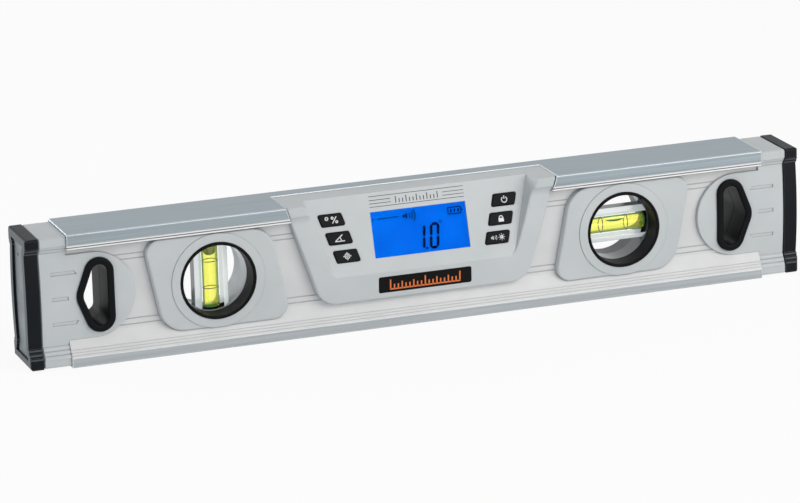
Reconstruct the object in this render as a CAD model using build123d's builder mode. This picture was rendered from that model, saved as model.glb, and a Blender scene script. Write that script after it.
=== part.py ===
from build123d import *
import os
from math import cos, radians, sin, tan

# Digital spirit level: X runs along the rail, the display faces -Y, Z is up.
# The origin is at the middle of the aluminium base face.

# Aluminium rail
rail_length = 359.0
rail_depth = 32.8
rail_height = 66.0
rail_wall = 2.4
web_depth = 22.0
base_band = 4.7
slope_height = 10.3
flange_face = 5.5
bead_count = 2
bead_height = 1.25
bead_setback = 0.8
bead_swell = 0.5
rail_chamfer = 0.5
line_depth = 0.3
line_half_width = 0.3
web_lines_below_flange = (6.3, 8.8)
web_lines_above_slope = (1.7, 4.5)
slope_lines = (1.4, 2.8, 4.2)

# End blocks and bumper caps
end_reach = 20.5
cap_width = 6.8
block_inset = 1.1
block_corner = 0.8
waist_edge = 12.1
waist_front = 13.3
waist_margin = 0.9
ridge_height = 6.0
ridge_count = 3
ridge_swell = 0.55
plug_clearance = 0.15
plug_length = 26.0
block_end_chamfer = 0.8
block_chamfer_angle = 45.0
tongue_radius = 21.0
tongue_reach = 33.5
seat_clearance = 0.05
cap_inset = -0.3
cap_wall = 2.4
cap_end_wall = 3.4
cap_crown = 0.3
cap_corner_round = 2.2
cap_edge_round = 1.4
cap_panel_inset = 4.0
cap_panel_depth = 1.5
cap_pin_radius = 0.8
cap_pin_rise = 20.0
cap_pin_offset = 3.0

# Long sunk bars on the face of each block
bar_end_gap = 12.8
bar_length = 12.8
bar_short_length = 8.8
bar_height = 1.8
bar_slant = 0.7
bar_pitch = 12.4
bar_depth = 0.4

# Finger grip openings in the end blocks
grip_end_gap = 23.1
grip_depth = 19.5
grip_lean = 21.4
grip_round = 7.3
grip_tip_round = 10.0
grip_rim_width = 3.4
grip_rim_front = 14.7
grip_rim_edge = 1.0
liner_wall = 1.5
liner_clearance = 0.2
liner_gap = 0.4
middle_rise = 1.0

# Block vials and their holders
vial_share = 0.58552
bezel_share = 0.17827
bezel_bottom = 10.9
bezel_top_gap = 0.4
bezel_skew = 11.3
bezel_wide_round = 13.0
bezel_tight_round = 7.0
bezel_front = 15.2
bezel_edge = 14.4
bezel_fillet = 1.0
dial_overlap = 0.05
dial_rise = 0.4
ring_radius = 19.0
ring_wall = 1.4
ring_front = 15.8
ring_edge = 0.4
ring_flange_width = 2.4
ring_flange_thickness = 1.2
ring_clearance = 0.2
vial_thickness = 10.4
vial_rim = 1.6
vial_bar_width = 17.0
vial_bar_face = 11.0
vial_bar_side = 3.0
bore_radius = 4.0
bore_length = 32.0
liquid_gap = 0.1
mark_spacing = 13.3
mark_width = 0.4
mark_depth = 0.15
level_bubble_length = 10.0
level_bubble_offset = 0.75
level_bubble_height = 3.4
plumb_bubble_length = 6.5
plumb_bubble_radius = 2.7
bubble_clearance = 0.3

# Display module, front housing
module_bottom = 14.6
module_share = 0.29582
module_slant = 18.2
module_corner = 10.5
module_drop = 0.4
module_face = 16.0
module_top_round = 0.8
module_edge_fillet = 0.8
pocket_edge_fillet = 1.0
module_clearance = 0.1
strip_front = 7.4
plate_edge = 15.5
plate_front = 16.2
cheek_top = 14.2
cheek_drop = 9.0
cove_drop = 5.1
cove_sag = 0.45
housing_lip = 3.0
housing_wall = 2.2
panel_bottom = 28.0
panel_tilt = 16.5
panel_side_gap = 6.1
panel_slant = 15.5
panel_corner = 7.0
panel_flare = 14.0
panel_pocket_depth = 30.0

# Display, buttons and name plate
window_side_gap = 28.4
window_share = 0.57631
window_rise_share = 0.46921
lens_border = 1.0
lens_thickness = 1.4
lens_clearance = 0.1
display_border = 1.8
display_thickness = 2.0
backlight_thickness = 2.2
button_width = 12.0
button_share = 0.15045
button_skew = 15.6
button_round = 0.5
button_corner = 0.8
button_proud = 0.8
button_clearance = 0.25
button_flange = 0.8
button_stem_radius = 1.5
button_travel = 0.5
button_slack = 0.05
button_rows = 3
button_pitch_share = 0.23206
button_step = 2.8
button_side_gap = 8.4
button_top_share = 0.71911
switch_size = 4.5
switch_base = 1.8
switch_plunger_radius = 1.2
switch_plunger_height = 0.5
plate_side_gap = 29.1
plate_height = 8.0
plate_rise = 21.5
plate_thickness = 0.7
plate_corner = 0.9
plate_clearance = 0.1

# Electronics
board_side_gap = 0.1
board_bottom = 2.5
board_top_gap = 2.215
board_thickness = 1.6
board_room = 0.6
board_pocket = 16.0
board_post_radius = 1.4
board_post_inset = 3.0
board_post_margin = 2.0
sensor_size = 8.0
sensor_thickness = 2.6
sensor_drop = 6.0
processor_size = 10.0
processor_thickness = 1.2
processor_offset = 20.0
buzzer_radius = 4.5
buzzer_thickness = 3.6
buzzer_side_gap = 11.0
buzzer_drop = 14.0

# Rear cover, batteries and fasteners
rear_bottom = 16.0
rear_top_gap = 1.5
rear_thickness = 3.2
rear_corner = 8.0
rear_edge = 0.8
battery_radius = 5.25
battery_length = 43.3
battery_nub_radius = 1.9
battery_nub_length = 1.2
battery_pitch = 10.8
battery_height = 31.2
battery_back_gap = 0.55
battery_room = 0.3
contact_thickness = 0.4
contact_height = 8.0
spring_gap = 3.2
spring_width = 6.0
spring_foot = 3.0
spring_thickness = 0.3
tray_wall = 1.5
tray_clearance = 0.3
door_margin = 2.8
door_thickness = 1.7
door_clearance = 0.25
door_grip_radius = 6.0
door_grip_depth = 0.8
door_rib_offset = 12.0
door_rib_width = 1.2
door_rib_gap = 0.35
screw_radius = 1.2
screw_head_radius = 2.6
screw_head_height = 1.6
screw_bite = 8.0
screw_clearance = 0.15
boss_radius = 3.0
boss_low_inset = 9.1
boss_low_rise = 21.5
boss_high_reach = 4.9
boss_high_drop = 6.5
slot_width = 0.7
slot_depth = 0.6
bezel_screw_radius = 1.0
bezel_screw_head = 2.1
bezel_screw_head_height = 1.4
bezel_screw_floor = 1.6
bezel_screw_share = 0.34375
bezel_screw_margin = 6.0
bezel_post_radius = 2.6

# Places worked out from the sizes above
half_depth = rail_depth / 2
half_web = web_depth / 2
slope_top = base_band + slope_height
flange_low = rail_height - flange_face
flange_under = flange_low - bead_count * bead_height
waist_low = base_band + ridge_height
waist_high = flange_under - waist_margin
middle = rail_height / 2 + middle_rise
rail_end = rail_length / 2
level_length = rail_length + 2 * end_reach
cap_seam = level_length / 2 - cap_width
bar_outer = level_length / 2 - bar_end_gap
grip_side = rail_end - grip_end_gap
vial_spacing = rail_length * vial_share
bezel_width = rail_length * bezel_share
bezel_top = flange_under - bezel_top_gap
bezel_screw_out = bezel_width * bezel_screw_share
bezel_screw_up = (flange_under - slope_top) / 2 - bezel_screw_margin
dial_radius = (bezel_top - bezel_bottom) / 2 + dial_overlap
module_bottom_width = rail_length * module_share
module_top = rail_height - module_drop
cheek_rise = rail_height - cheek_drop
cove_rise = rail_height - cove_drop
panel_width = module_bottom_width - 2 * panel_side_gap
panel_room = (module_top - panel_bottom) / cos(radians(panel_tilt))
window_width = module_bottom_width - 2 * window_side_gap
window_height = panel_room * window_share
window_rise = panel_room * window_rise_share
button_height = panel_room * button_share
button_pitch = panel_room * button_pitch_share
button_column = module_bottom_width - 2 * button_side_gap
button_top_row = panel_room * button_top_share
plate_width = module_bottom_width - 2 * plate_side_gap
board_width = module_bottom_width - 2 * board_side_gap
board_top = panel_room - board_top_gap
board_post_out = board_width / 2 - board_post_inset
board_post_spots = (
    (board_post_out, board_bottom + board_post_margin),
    (board_post_out, board_top - board_post_margin),
)
sensor_rise = board_top - sensor_drop
buzzer_offset = board_width / 2 - buzzer_side_gap
buzzer_rise = board_top - buzzer_drop
boss_low_spot = (module_bottom_width / 2 - boss_low_inset, boss_low_rise)
boss_high_spot = (module_bottom_width / 2 + boss_high_reach, flange_under - boss_high_drop)
vial_half = vial_thickness / 2
web_inside = half_web - rail_wall
board_face = housing_wall + display_thickness + backlight_thickness

panel_plane = Plane(
    origin=(0, -plate_front, panel_bottom),
    x_dir=(1, 0, 0),
    z_dir=(0, -cos(radians(panel_tilt)), sin(radians(panel_tilt))),
)

os.makedirs("parts", exist_ok=True)


def write(piece, name):
    """Label a finished piece and write its file."""
    piece.part.label = name
    export_step(piece.part, f"parts/{name}.step")


def mirrored(piece, about):
    """The same piece on the other side of a plane."""
    with BuildPart() as twin:
        mirror(piece.part, about=about)
    return twin


def lined_run(start, finish, spots):
    """Points of a straight run up the outside, with shallow V lines at the given distances."""
    start = Vector(*start)
    finish = Vector(*finish)
    along = (finish - start).normalized()
    inward = along.rotate(Axis.Z, 90)
    points = [start]
    for spot in spots:
        points.append(start + along * (spot - line_half_width))
        points.append(start + along * spot + inward * line_depth)
        points.append(start + along * (spot + line_half_width))
    return points + [finish]


def beaded_run(start, finish, count, swell):
    """A straight run up the outside, as a row of round beads."""
    start = Vector(*start)
    step = (Vector(*finish) - start) / count
    outward = step.normalized().rotate(Axis.Z, -90)
    for number in range(count):
        foot = start + step * number
        ThreePointArc(foot, foot + step / 2 + outward * swell, foot + step)


def rail_outline():
    """The outer section of the rail, with its fine lines and beads."""
    web_height = flange_under - slope_top
    web_spots = list(web_lines_above_slope) + [web_height - drop for drop in reversed(web_lines_below_flange)]
    with BuildLine() as outline:
        Polyline(
            (0, 0),
            (half_depth - rail_chamfer, 0),
            (half_depth, rail_chamfer),
            *lined_run((half_depth, base_band), (half_web, slope_top), slope_lines),
            *lined_run((half_web, slope_top), (half_web, flange_under), web_spots)[1:],
            (half_depth - bead_setback, flange_under),
        )
        bead_root = half_depth - bead_setback
        beaded_run((bead_root, flange_under), (bead_root, flange_low), bead_count, bead_swell)
        Polyline(
            (bead_root, flange_low),
            (half_depth, flange_low),
            (half_depth, rail_height - rail_chamfer),
            (half_depth - rail_chamfer, rail_height),
            (0, rail_height),
        )
        mirror(about=Plane.YZ)
    make_face(outline.edges())


def rail_cavity(mode=Mode.ADD):
    """The hollow of the rail, one wall in from its outside."""
    with BuildLine() as outline:
        Polyline(
            (0, rail_wall),
            (half_depth - rail_wall, rail_wall),
            (half_depth - rail_wall, base_band),
            (web_inside, slope_top),
            (web_inside, flange_under + rail_wall),
            (half_depth - rail_wall - bead_setback, flange_under + rail_wall),
            (half_depth - rail_wall - bead_setback, rail_height - rail_wall),
            (0, rail_height - rail_wall),
        )
        mirror(about=Plane.YZ)
    make_face(outline.edges(), mode=mode)


def block_outline(inset=0, plain=False):
    """The outer section of an end block or cap, smaller than the rail, with a barrel waist.

    The plain form leaves out the beads above and below the waist.
    """
    face = half_depth - block_inset - inset
    bottom = block_inset + inset
    top = rail_height - block_inset - inset
    waist = waist_edge - inset
    low_run = (face, base_band), (waist, waist_low)
    high_run = (waist, waist_high), (face - bead_setback, flange_low)
    with BuildLine() as outline:
        Polyline(
            (0, bottom),
            (face - rail_chamfer, bottom),
            (face, bottom + rail_chamfer),
            (face, base_band),
        )
        waist_middle = (waist_front - inset, (waist_low + waist_high) / 2)
        ThreePointArc((waist, waist_low), waist_middle, (waist, waist_high))
        if plain:
            Line(*low_run)
            Line(*high_run)
        else:
            beaded_run(*low_run, ridge_count, ridge_swell)
            beaded_run(*high_run, bead_count, bead_swell)
        Polyline(
            (face - bead_setback, flange_low),
            (face, flange_low),
            (face, top - block_corner),
            (face - block_corner, top),
            (0, top),
        )
        mirror(about=Plane.YZ)
    make_face(outline.edges())


def waist_at(height):
    """How far the barrel waist of a block stands from the middle plane at a height."""
    half_span = (waist_high - waist_low) / 2
    swell = waist_front - waist_edge
    radius = (half_span**2 + swell**2) / (2 * swell)
    rise = height - (waist_low + waist_high) / 2
    return waist_front - radius + (radius**2 - rise**2) ** 0.5


def grip_outline(grow):
    """The finger opening's shape: straight towards the middle, a round tip towards the end."""
    half_height = grip_depth / tan(radians(grip_lean))
    Polygon(
        (-grip_side, middle + half_height),
        (-grip_side - grip_depth, middle),
        (-grip_side, middle - half_height),
        align=None,
    )
    fillet(vertices().sort_by(Axis.X)[:1], radius=grip_tip_round)
    straight_side = vertices().group_by(Axis.X)[-1]
    fillet(straight_side, radius=grip_round)
    offset(amount=grow)


def module_outline(margin, low, high):
    """The front view of the display module, with slanted sides, between two heights."""
    lean = tan(radians(module_slant))
    half_low = module_bottom_width / 2 + (low - module_bottom) * lean - margin
    half_high = module_bottom_width / 2 + (high - module_bottom) * lean - margin
    Polygon((-half_low, low), (half_low, low), (half_high, high), (-half_high, high), align=None)


# A plain filled rail section, which what lies on the rail is cut back to
with BuildPart() as rail_body:
    with BuildSketch(Plane.YZ.offset(-rail_end)):
        with BuildLine():
            Polyline(
                (0, 0),
                (half_depth + seat_clearance, 0),
                (half_depth + seat_clearance, base_band),
                (half_web, slope_top + seat_clearance),
                (half_web, flange_under),
                (half_depth, flange_under),
                (half_depth, rail_height),
                (0, rail_height),
            )
            mirror(about=Plane.YZ)
        make_face()
    extrude(amount=rail_length)


# Places of the fastenings, as seen from the front
boss_spots = [(side * x, z) for side in (-1, 1) for x, z in (boss_low_spot, boss_high_spot)]
plumb_screw_spots = [
    (-vial_spacing / 2 - bezel_screw_out, middle + bezel_screw_up),
    (-vial_spacing / 2 + bezel_screw_out, middle - bezel_screw_up),
]
level_screw_spots = [(-x, z) for x, z in plumb_screw_spots]
bezel_screw_spots = plumb_screw_spots + level_screw_spots

# The battery room behind the display, worked out from the cells
battery_y = half_web - battery_back_gap - battery_radius
room_half_height = battery_pitch / 2 + battery_radius + battery_room
room_half_width = (battery_length + battery_nub_length + spring_gap) / 2 + contact_thickness
room_floor = battery_y - battery_radius - battery_room
rear_face = half_web + rear_thickness


# Extruded aluminium rail with its vial, grip, module and battery openings
with BuildPart() as profile:
    with BuildSketch(Plane.YZ.offset(-rail_end)):
        rail_outline()
        rail_cavity(mode=Mode.SUBTRACT)
    extrude(amount=rail_length)
    with BuildSketch(Plane.XZ):
        with Locations((-vial_spacing / 2, middle), (vial_spacing / 2, middle)):
            Circle(ring_radius + ring_clearance)
        with Locations(*bezel_screw_spots):
            Circle(bezel_screw_radius + screw_clearance)
        with Locations(*boss_spots):
            Circle(screw_radius + screw_clearance)
    extrude(amount=rail_depth, both=True, mode=Mode.SUBTRACT)
    with BuildSketch(Plane.XZ) as grip_hole:
        grip_outline(liner_wall + liner_clearance - grip_rim_width)
    extrude(amount=rail_depth, both=True, mode=Mode.SUBTRACT)
    with BuildSketch(Plane.XZ):
        mirror(grip_hole.sketch, about=Plane.YZ)
    extrude(amount=rail_depth, both=True, mode=Mode.SUBTRACT)
    with BuildSketch(Plane.XZ):
        with Locations(*bezel_screw_spots):
            Circle(bezel_post_radius + screw_clearance)
    extrude(amount=rail_depth, mode=Mode.SUBTRACT)
    with BuildSketch(Plane.XZ):
        module_outline(housing_lip, module_bottom + housing_lip, flange_under)
        fillet(vertices().group_by(Axis.Y)[0], radius=module_corner - housing_lip)
    extrude(amount=rail_depth, mode=Mode.SUBTRACT)
    with BuildSketch(Plane.XZ.offset(-strip_front)):
        module_outline(-module_clearance, flange_under, rail_height + rail_chamfer)
    extrude(amount=rail_depth + strip_front, mode=Mode.SUBTRACT)
    with BuildSketch(Plane.XZ):
        with Locations((0, battery_height)):
            tray_half_width = room_half_width + tray_wall + tray_clearance
            tray_half_height = room_half_height + tray_wall + tray_clearance
            Rectangle(2 * tray_half_width, 2 * tray_half_height)
    extrude(amount=-rail_depth, mode=Mode.SUBTRACT)

write(profile, "profile")


# End block: moulded plastic, plugs into the rail and lies over its web with a round tongue
with BuildPart() as tongues:
    with BuildSketch(Plane.YZ.offset(-rail_end)):
        block_outline()
    extrude(amount=tongue_reach)
    with BuildSketch(Plane.XZ):
        straight = tongue_reach - tongue_radius
        with Locations((straight - rail_end, middle)):
            Circle(tongue_radius)
        with Locations((straight / 2 - rail_end, middle)):
            Rectangle(straight, 2 * tongue_radius)
    extrude(amount=rail_depth, both=True, mode=Mode.INTERSECT)
    add(rail_body.part, mode=Mode.SUBTRACT)

with BuildPart() as end_block_left:
    with BuildSketch(Plane.YZ.offset(block_end_chamfer - cap_seam)):
        block_outline()
    extrude(amount=cap_seam - rail_end - block_end_chamfer)
    with BuildSketch(Plane.YZ.offset(block_end_chamfer - cap_seam)):
        block_outline(plain=True)
    extrude(amount=-block_end_chamfer, taper=block_chamfer_angle)
    with BuildSketch(Plane.YZ.offset(-cap_seam)):
        block_outline(cap_inset, plain=True)
        offset(amount=-cap_wall - plug_clearance)
    extrude(amount=-(cap_width - cap_end_wall - plug_clearance))
    with BuildSketch(Plane.YZ.offset(-rail_end)):
        rail_cavity()
        offset(amount=-plug_clearance)
    extrude(amount=plug_length)
    add(tongues.part)
    for face_sign in (-1, 1):
        for number in (-1, 0, 1):
            bar_z = middle + number * bar_pitch
            with BuildSketch(Plane.XZ.offset(face_sign * (waist_at(bar_z) - bar_depth))):
                bar_end = -bar_outer + (bar_length if number else bar_short_length)
                Polygon(
                    (-bar_outer, bar_z - bar_height / 2),
                    (bar_end - bar_slant * (1 - number), bar_z - bar_height / 2),
                    (bar_end - bar_slant * (1 + number), bar_z + bar_height / 2),
                    (-bar_outer, bar_z + bar_height / 2),
                    align=None,
                )
            extrude(amount=face_sign * waist_front, mode=Mode.SUBTRACT)
    with BuildSketch(Plane.XZ):
        grip_outline(liner_wall + liner_clearance - grip_rim_width)
    extrude(amount=rail_depth, both=True, mode=Mode.SUBTRACT)

write(end_block_left, "end_block_left")
write(mirrored(end_block_left, Plane.YZ), "end_block_right")


# Bumper cap: a rubber cup over the block's spigot, its end crowned and rounded, with a sunk panel
with BuildPart() as end_cap_left:
    with BuildSketch(Plane.YZ.offset(-level_length / 2)):
        block_outline(cap_inset)
    extrude(amount=cap_width)
    with BuildSketch(Plane.XZ):
        cap_low = block_inset + cap_inset
        cap_high = rail_height - cap_low
        with BuildLine():
            ThreePointArc(
                (cap_crown - level_length / 2, cap_low),
                (-level_length / 2, rail_height / 2),
                (cap_crown - level_length / 2, cap_high),
            )
            Polyline(
                (cap_crown - level_length / 2, cap_high),
                (-rail_end, cap_high),
                (-rail_end, cap_low),
                (cap_crown - level_length / 2, cap_low),
            )
        make_face()
        fillet(vertices().group_by(Axis.X)[0], radius=cap_edge_round)
    extrude(amount=rail_depth, both=True, mode=Mode.INTERSECT)
    with BuildSketch(Plane.XY):
        with Locations((-level_length / 2, 0)):
            Rectangle(2 * cap_width, rail_depth - 2 * cap_low, align=(Align.MIN, Align.CENTER))
        fillet(vertices().group_by(Axis.X)[0], radius=cap_corner_round)
    extrude(amount=rail_height, mode=Mode.INTERSECT)
    with BuildSketch(Plane.YZ.offset(-cap_seam)):
        block_outline(cap_inset, plain=True)
        offset(amount=-cap_wall)
    extrude(amount=cap_end_wall - cap_width, mode=Mode.SUBTRACT)
    with BuildSketch(Plane.YZ.offset(cap_panel_depth - level_length / 2)):
        block_outline(cap_inset, plain=True)
        offset(amount=-cap_panel_inset)
    extrude(amount=-cap_panel_depth, mode=Mode.SUBTRACT)
    with BuildSketch(Plane.YZ.offset(-level_length / 2)):
        with Locations((cap_pin_offset, middle + cap_pin_rise)):
            Circle(cap_pin_radius)
    extrude(amount=cap_panel_depth + cap_pin_radius, mode=Mode.SUBTRACT)

write(end_cap_left, "end_cap_left")
write(mirrored(end_cap_left, Plane.YZ), "end_cap_right")


# Grip liner: a black moulding in two halves, a rim on the block and a tube to the middle plane
with BuildPart() as liner:
    with BuildSketch(Plane.XZ.offset(half_web)):
        grip_outline(0)
    extrude(amount=grip_rim_front - half_web)
    fillet(faces().sort_by(Axis.Y)[0].edges(), radius=grip_rim_edge)
    with BuildSketch(Plane.YZ.offset(-level_length / 2)):
        block_outline(-seat_clearance, plain=True)
    extrude(amount=level_length / 2, mode=Mode.SUBTRACT)
    with BuildSketch(Plane.XZ.offset(liner_gap / 2)):
        grip_outline(liner_wall - grip_rim_width)
    extrude(amount=waist_front)
    with BuildSketch(Plane.XZ):
        grip_outline(-grip_rim_width)
    extrude(amount=rail_depth, mode=Mode.SUBTRACT)
    fillet(faces().sort_by(Axis.Y)[0].inner_wires().edges(), radius=grip_rim_edge)

write(liner, "grip_liner_front_left")
write(mirrored(liner, Plane.YZ), "grip_liner_front_right")
rear_liner = mirrored(liner, Plane.XZ)
write(rear_liner, "grip_liner_rear_left")
write(mirrored(rear_liner, Plane.YZ), "grip_liner_rear_right")


# Vial bezel: a moulded plate on the web, a leaning four-sided shape with a raised round dial
def bezel_section(rise):
    """The side section of a bezel: flat on the web, a shallow barrel in front."""
    with BuildLine() as outline:
        ThreePointArc(
            (-bezel_edge - rise, bezel_bottom),
            (-bezel_front - rise, (bezel_bottom + bezel_top) / 2),
            (-bezel_edge - rise, bezel_top),
        )
        Polyline(
            (-bezel_edge - rise, bezel_top),
            (-half_web, bezel_top),
            (-half_web, bezel_bottom),
            (-bezel_edge - rise, bezel_bottom),
        )
    make_face(outline.edges())


def bezel_outline():
    """The front view of the left bezel, leaning outwards at the top, with two corner sizes."""
    lean = tan(radians(bezel_skew))
    low_x = -vial_spacing / 2 + (middle - bezel_bottom) * lean
    high_x = -vial_spacing / 2 + (middle - bezel_top) * lean
    low_left = (low_x - bezel_width / 2, bezel_bottom)
    low_right = (low_x + bezel_width / 2, bezel_bottom)
    high_left = (high_x - bezel_width / 2, bezel_top)
    high_right = (high_x + bezel_width / 2, bezel_top)
    Polygon(low_left, low_right, high_right, high_left, align=None)
    wide = vertices().sort_by_distance(low_left)[:1] + vertices().sort_by_distance(high_right)[:1]
    fillet(wide, radius=bezel_wide_round)
    tight = vertices().sort_by_distance(low_right)[:1] + vertices().sort_by_distance(high_left)[:1]
    fillet(tight, radius=bezel_tight_round)


with BuildPart() as dial:
    with BuildSketch(Plane.YZ.offset(-rail_end)):
        bezel_section(dial_rise)
    extrude(amount=rail_end)
    with BuildSketch(Plane.XZ):
        with Locations((-vial_spacing / 2, middle)):
            Circle(dial_radius)
    extrude(amount=rail_depth, mode=Mode.INTERSECT)

with BuildPart() as bezel:
    with BuildSketch(Plane.YZ.offset(-rail_end)):
        bezel_section(0)
    extrude(amount=rail_end)
    with BuildSketch(Plane.XZ):
        bezel_outline()
    extrude(amount=rail_depth, mode=Mode.INTERSECT)
    fillet(faces().filter_by(GeomType.CYLINDER).sort_by(Axis.Y)[0].edges(), radius=bezel_fillet)
    add(dial.part)
    add(rail_body.part, mode=Mode.SUBTRACT)
    with BuildSketch(Plane.XZ):
        with Locations((-vial_spacing / 2, middle)):
            Circle(ring_radius + ring_clearance)
    extrude(amount=rail_depth, mode=Mode.SUBTRACT)
    with BuildSketch(Plane.XZ):
        with Locations((-vial_spacing / 2, middle)):
            Circle(ring_radius + ring_flange_width + ring_clearance)
    extrude(amount=half_web + ring_flange_thickness + seat_clearance, mode=Mode.SUBTRACT)

with BuildPart() as plumb_bezel_front:
    add(bezel.part)
    with BuildSketch(Plane.XZ.offset(half_web)):
        with Locations(*plumb_screw_spots):
            Circle(bezel_post_radius)
            Circle(bezel_screw_radius + seat_clearance, mode=Mode.SUBTRACT)
    extrude(amount=seat_clearance - half_web - web_inside)

plumb_bezel_back = mirrored(bezel, Plane.XZ)
with BuildPart() as plumb_bezel_rear:
    add(plumb_bezel_back.part)
    with BuildSketch(Plane.XZ):
        with Locations(*plumb_screw_spots):
            Circle(bezel_screw_radius + screw_clearance)
    extrude(amount=-rail_depth, mode=Mode.SUBTRACT)
    with BuildSketch(Plane.XZ.offset(-half_web - bezel_screw_floor)):
        with Locations(*plumb_screw_spots):
            Circle(bezel_screw_head + screw_clearance)
    extrude(amount=-rail_depth, mode=Mode.SUBTRACT)

write(plumb_bezel_front, "plumb_bezel_front")
write(plumb_bezel_rear, "plumb_bezel_rear")
write(mirrored(plumb_bezel_front, Plane.YZ), "level_bezel_front")
write(mirrored(plumb_bezel_rear, Plane.YZ), "level_bezel_rear")


# Vial ring: a black tube through the web with a thin flange under the bezel
with BuildPart() as ring_flange:
    with BuildSketch(Plane.XZ.offset(half_web)):
        with Locations((-vial_spacing / 2, middle)):
            Circle(ring_radius + ring_flange_width)
    extrude(amount=ring_flange_thickness)
    add(rail_body.part, mode=Mode.SUBTRACT)

with BuildPart() as ring:
    with BuildSketch(Plane.XZ.offset(vial_half)):
        with Locations((-vial_spacing / 2, middle)):
            Circle(ring_radius)
    extrude(amount=ring_front - vial_half)
    add(ring_flange.part)
    with BuildSketch(Plane.XZ):
        with Locations((-vial_spacing / 2, middle)):
            Circle(ring_radius - ring_wall)
    extrude(amount=rail_depth, mode=Mode.SUBTRACT)
    fillet(faces().sort_by(Axis.Y)[0].edges(), radius=ring_edge)

write(ring, "plumb_ring_front")
write(mirrored(ring, Plane.YZ), "level_ring_front")
rear_ring = mirrored(ring, Plane.XZ)
write(rear_ring, "plumb_ring_rear")
write(mirrored(rear_ring, Plane.YZ), "level_ring_rear")


# Block vial: a clear ring with an eight-sided bar across it, bored for the liquid
plumb_axis = Plane(origin=(-vial_spacing / 2, 0, middle), x_dir=(1, 0, 0), z_dir=(0, 0, 1))
level_axis = Plane(origin=(vial_spacing / 2, 0, middle), x_dir=(0, 0, 1), z_dir=(1, 0, 0))


def make_marks(axis, depth):
    """The two thin dark bands round the bore, to a depth in the clear wall."""
    with BuildPart() as marks:
        for side in (-1, 1):
            with BuildSketch(axis.offset(side * mark_spacing / 2 - mark_width / 2)):
                Circle(bore_radius + depth)
                Circle(bore_radius, mode=Mode.SUBTRACT)
            extrude(amount=mark_width)
    return marks


def make_vial(axis, marks):
    """One clear vial block with its bore along the axis plane's normal."""
    with BuildPart() as bar:
        with BuildSketch(axis):
            face = vial_bar_face / 2
            side = vial_bar_side
            wide = vial_bar_width / 2
            Polygon(
                (face, vial_half),
                (-face, vial_half),
                (-wide, side),
                (-wide, -side),
                (-face, -vial_half),
                (face, -vial_half),
                (wide, -side),
                (wide, side),
                align=None,
            )
        extrude(amount=ring_radius, both=True)
        with BuildSketch(Plane.XZ):
            with Locations((axis.origin.X, middle)):
                Circle(ring_radius - vial_rim / 2)
        extrude(amount=vial_thickness, both=True, mode=Mode.INTERSECT)
    with BuildPart() as vial:
        with BuildSketch(Plane.XZ):
            with Locations((axis.origin.X, middle)):
                Circle(ring_radius)
                Circle(ring_radius - vial_rim, mode=Mode.SUBTRACT)
        extrude(amount=vial_half, both=True)
        add(bar.part)
        with BuildSketch(axis):
            Circle(bore_radius)
        extrude(amount=bore_length / 2, both=True, mode=Mode.SUBTRACT)
        add(marks.part, mode=Mode.SUBTRACT)
    return vial


write(make_vial(plumb_axis, make_marks(plumb_axis, mark_depth + seat_clearance)), "plumb_vial")
write(make_vial(level_axis, make_marks(level_axis, mark_depth + seat_clearance)), "level_vial")
write(make_marks(plumb_axis, mark_depth), "plumb_marks")
write(make_marks(level_axis, mark_depth), "level_marks")


# Liquid: fills the bore, with room left for the path of the bubble
liquid_radius = bore_radius - liquid_gap
liquid_half = bore_length / 2 - liquid_gap
bubble_floor = bore_radius - level_bubble_height

with BuildPart() as plumb_liquid:
    with BuildSketch(plumb_axis):
        Circle(liquid_radius)
        Circle(plumb_bubble_radius + bubble_clearance, mode=Mode.SUBTRACT)
    extrude(amount=liquid_half, both=True)

with BuildPart() as level_liquid:
    with BuildSketch(level_axis):
        Circle(liquid_radius)
        with Locations((bubble_floor - bubble_clearance + bore_radius, 0)):
            Rectangle(2 * bore_radius, 2 * bore_radius, mode=Mode.SUBTRACT)
    extrude(amount=liquid_half, both=True)

write(plumb_liquid, "plumb_liquid")
write(level_liquid, "level_liquid")


# Bubbles: the plumb one waits at the top of its bore, the level one under the top of its bore
with BuildPart() as plumb_bubble:
    with BuildSketch(plumb_axis.offset(bore_length / 2 - bubble_clearance)):
        Circle(plumb_bubble_radius)
    extrude(amount=-plumb_bubble_length)

with BuildPart() as level_bubble:
    with BuildSketch(level_axis.offset(level_bubble_offset)):
        Circle(bore_radius - bubble_clearance)
        with Locations((bubble_floor - bore_radius, 0)):
            Rectangle(2 * bore_radius, 2 * bore_radius, mode=Mode.SUBTRACT)
    extrude(amount=level_bubble_length / 2, both=True)

write(plumb_bubble, "plumb_bubble")
write(level_bubble, "level_bubble")


# Display module housing: a moulded front with a tilted panel sunk between two cheeks
def panel_depth_y(depth, height):
    """Where a plane at a depth behind the tilted panel stands at a height."""
    tilt = radians(panel_tilt)
    return -plate_front + (height - panel_bottom) * tan(tilt) + depth / cos(tilt)


def key_outline(side, grow):
    """A leaning four-sided button shape; the side says which way its top leans."""
    half_width = button_width / 2 + grow
    half_height = button_height / 2 + grow
    shift = side * half_height * tan(radians(button_skew))
    Polygon(
        (-half_width - shift, -half_height),
        (half_width - shift, -half_height),
        (half_width + shift, half_height),
        (-half_width + shift, half_height),
        align=None,
    )
    fillet(vertices(), radius=button_corner + grow)


def key_spot(side, row):
    """The middle of a button on the panel, rows counted down from the top one."""
    return (side * (button_column / 2 - row * button_step), button_top_row - row * button_pitch)


roof_under = module_top - housing_wall
roof_back = strip_front - module_clearance
slab_foot = panel_bottom + (plate_front - half_web - housing_wall / cos(radians(panel_tilt))) / tan(
    radians(panel_tilt)
)
foot_lean = (half_depth - half_web) / slope_height
foot_back = half_web + (slope_top + 2 * seat_clearance - module_bottom) * foot_lean

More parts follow.
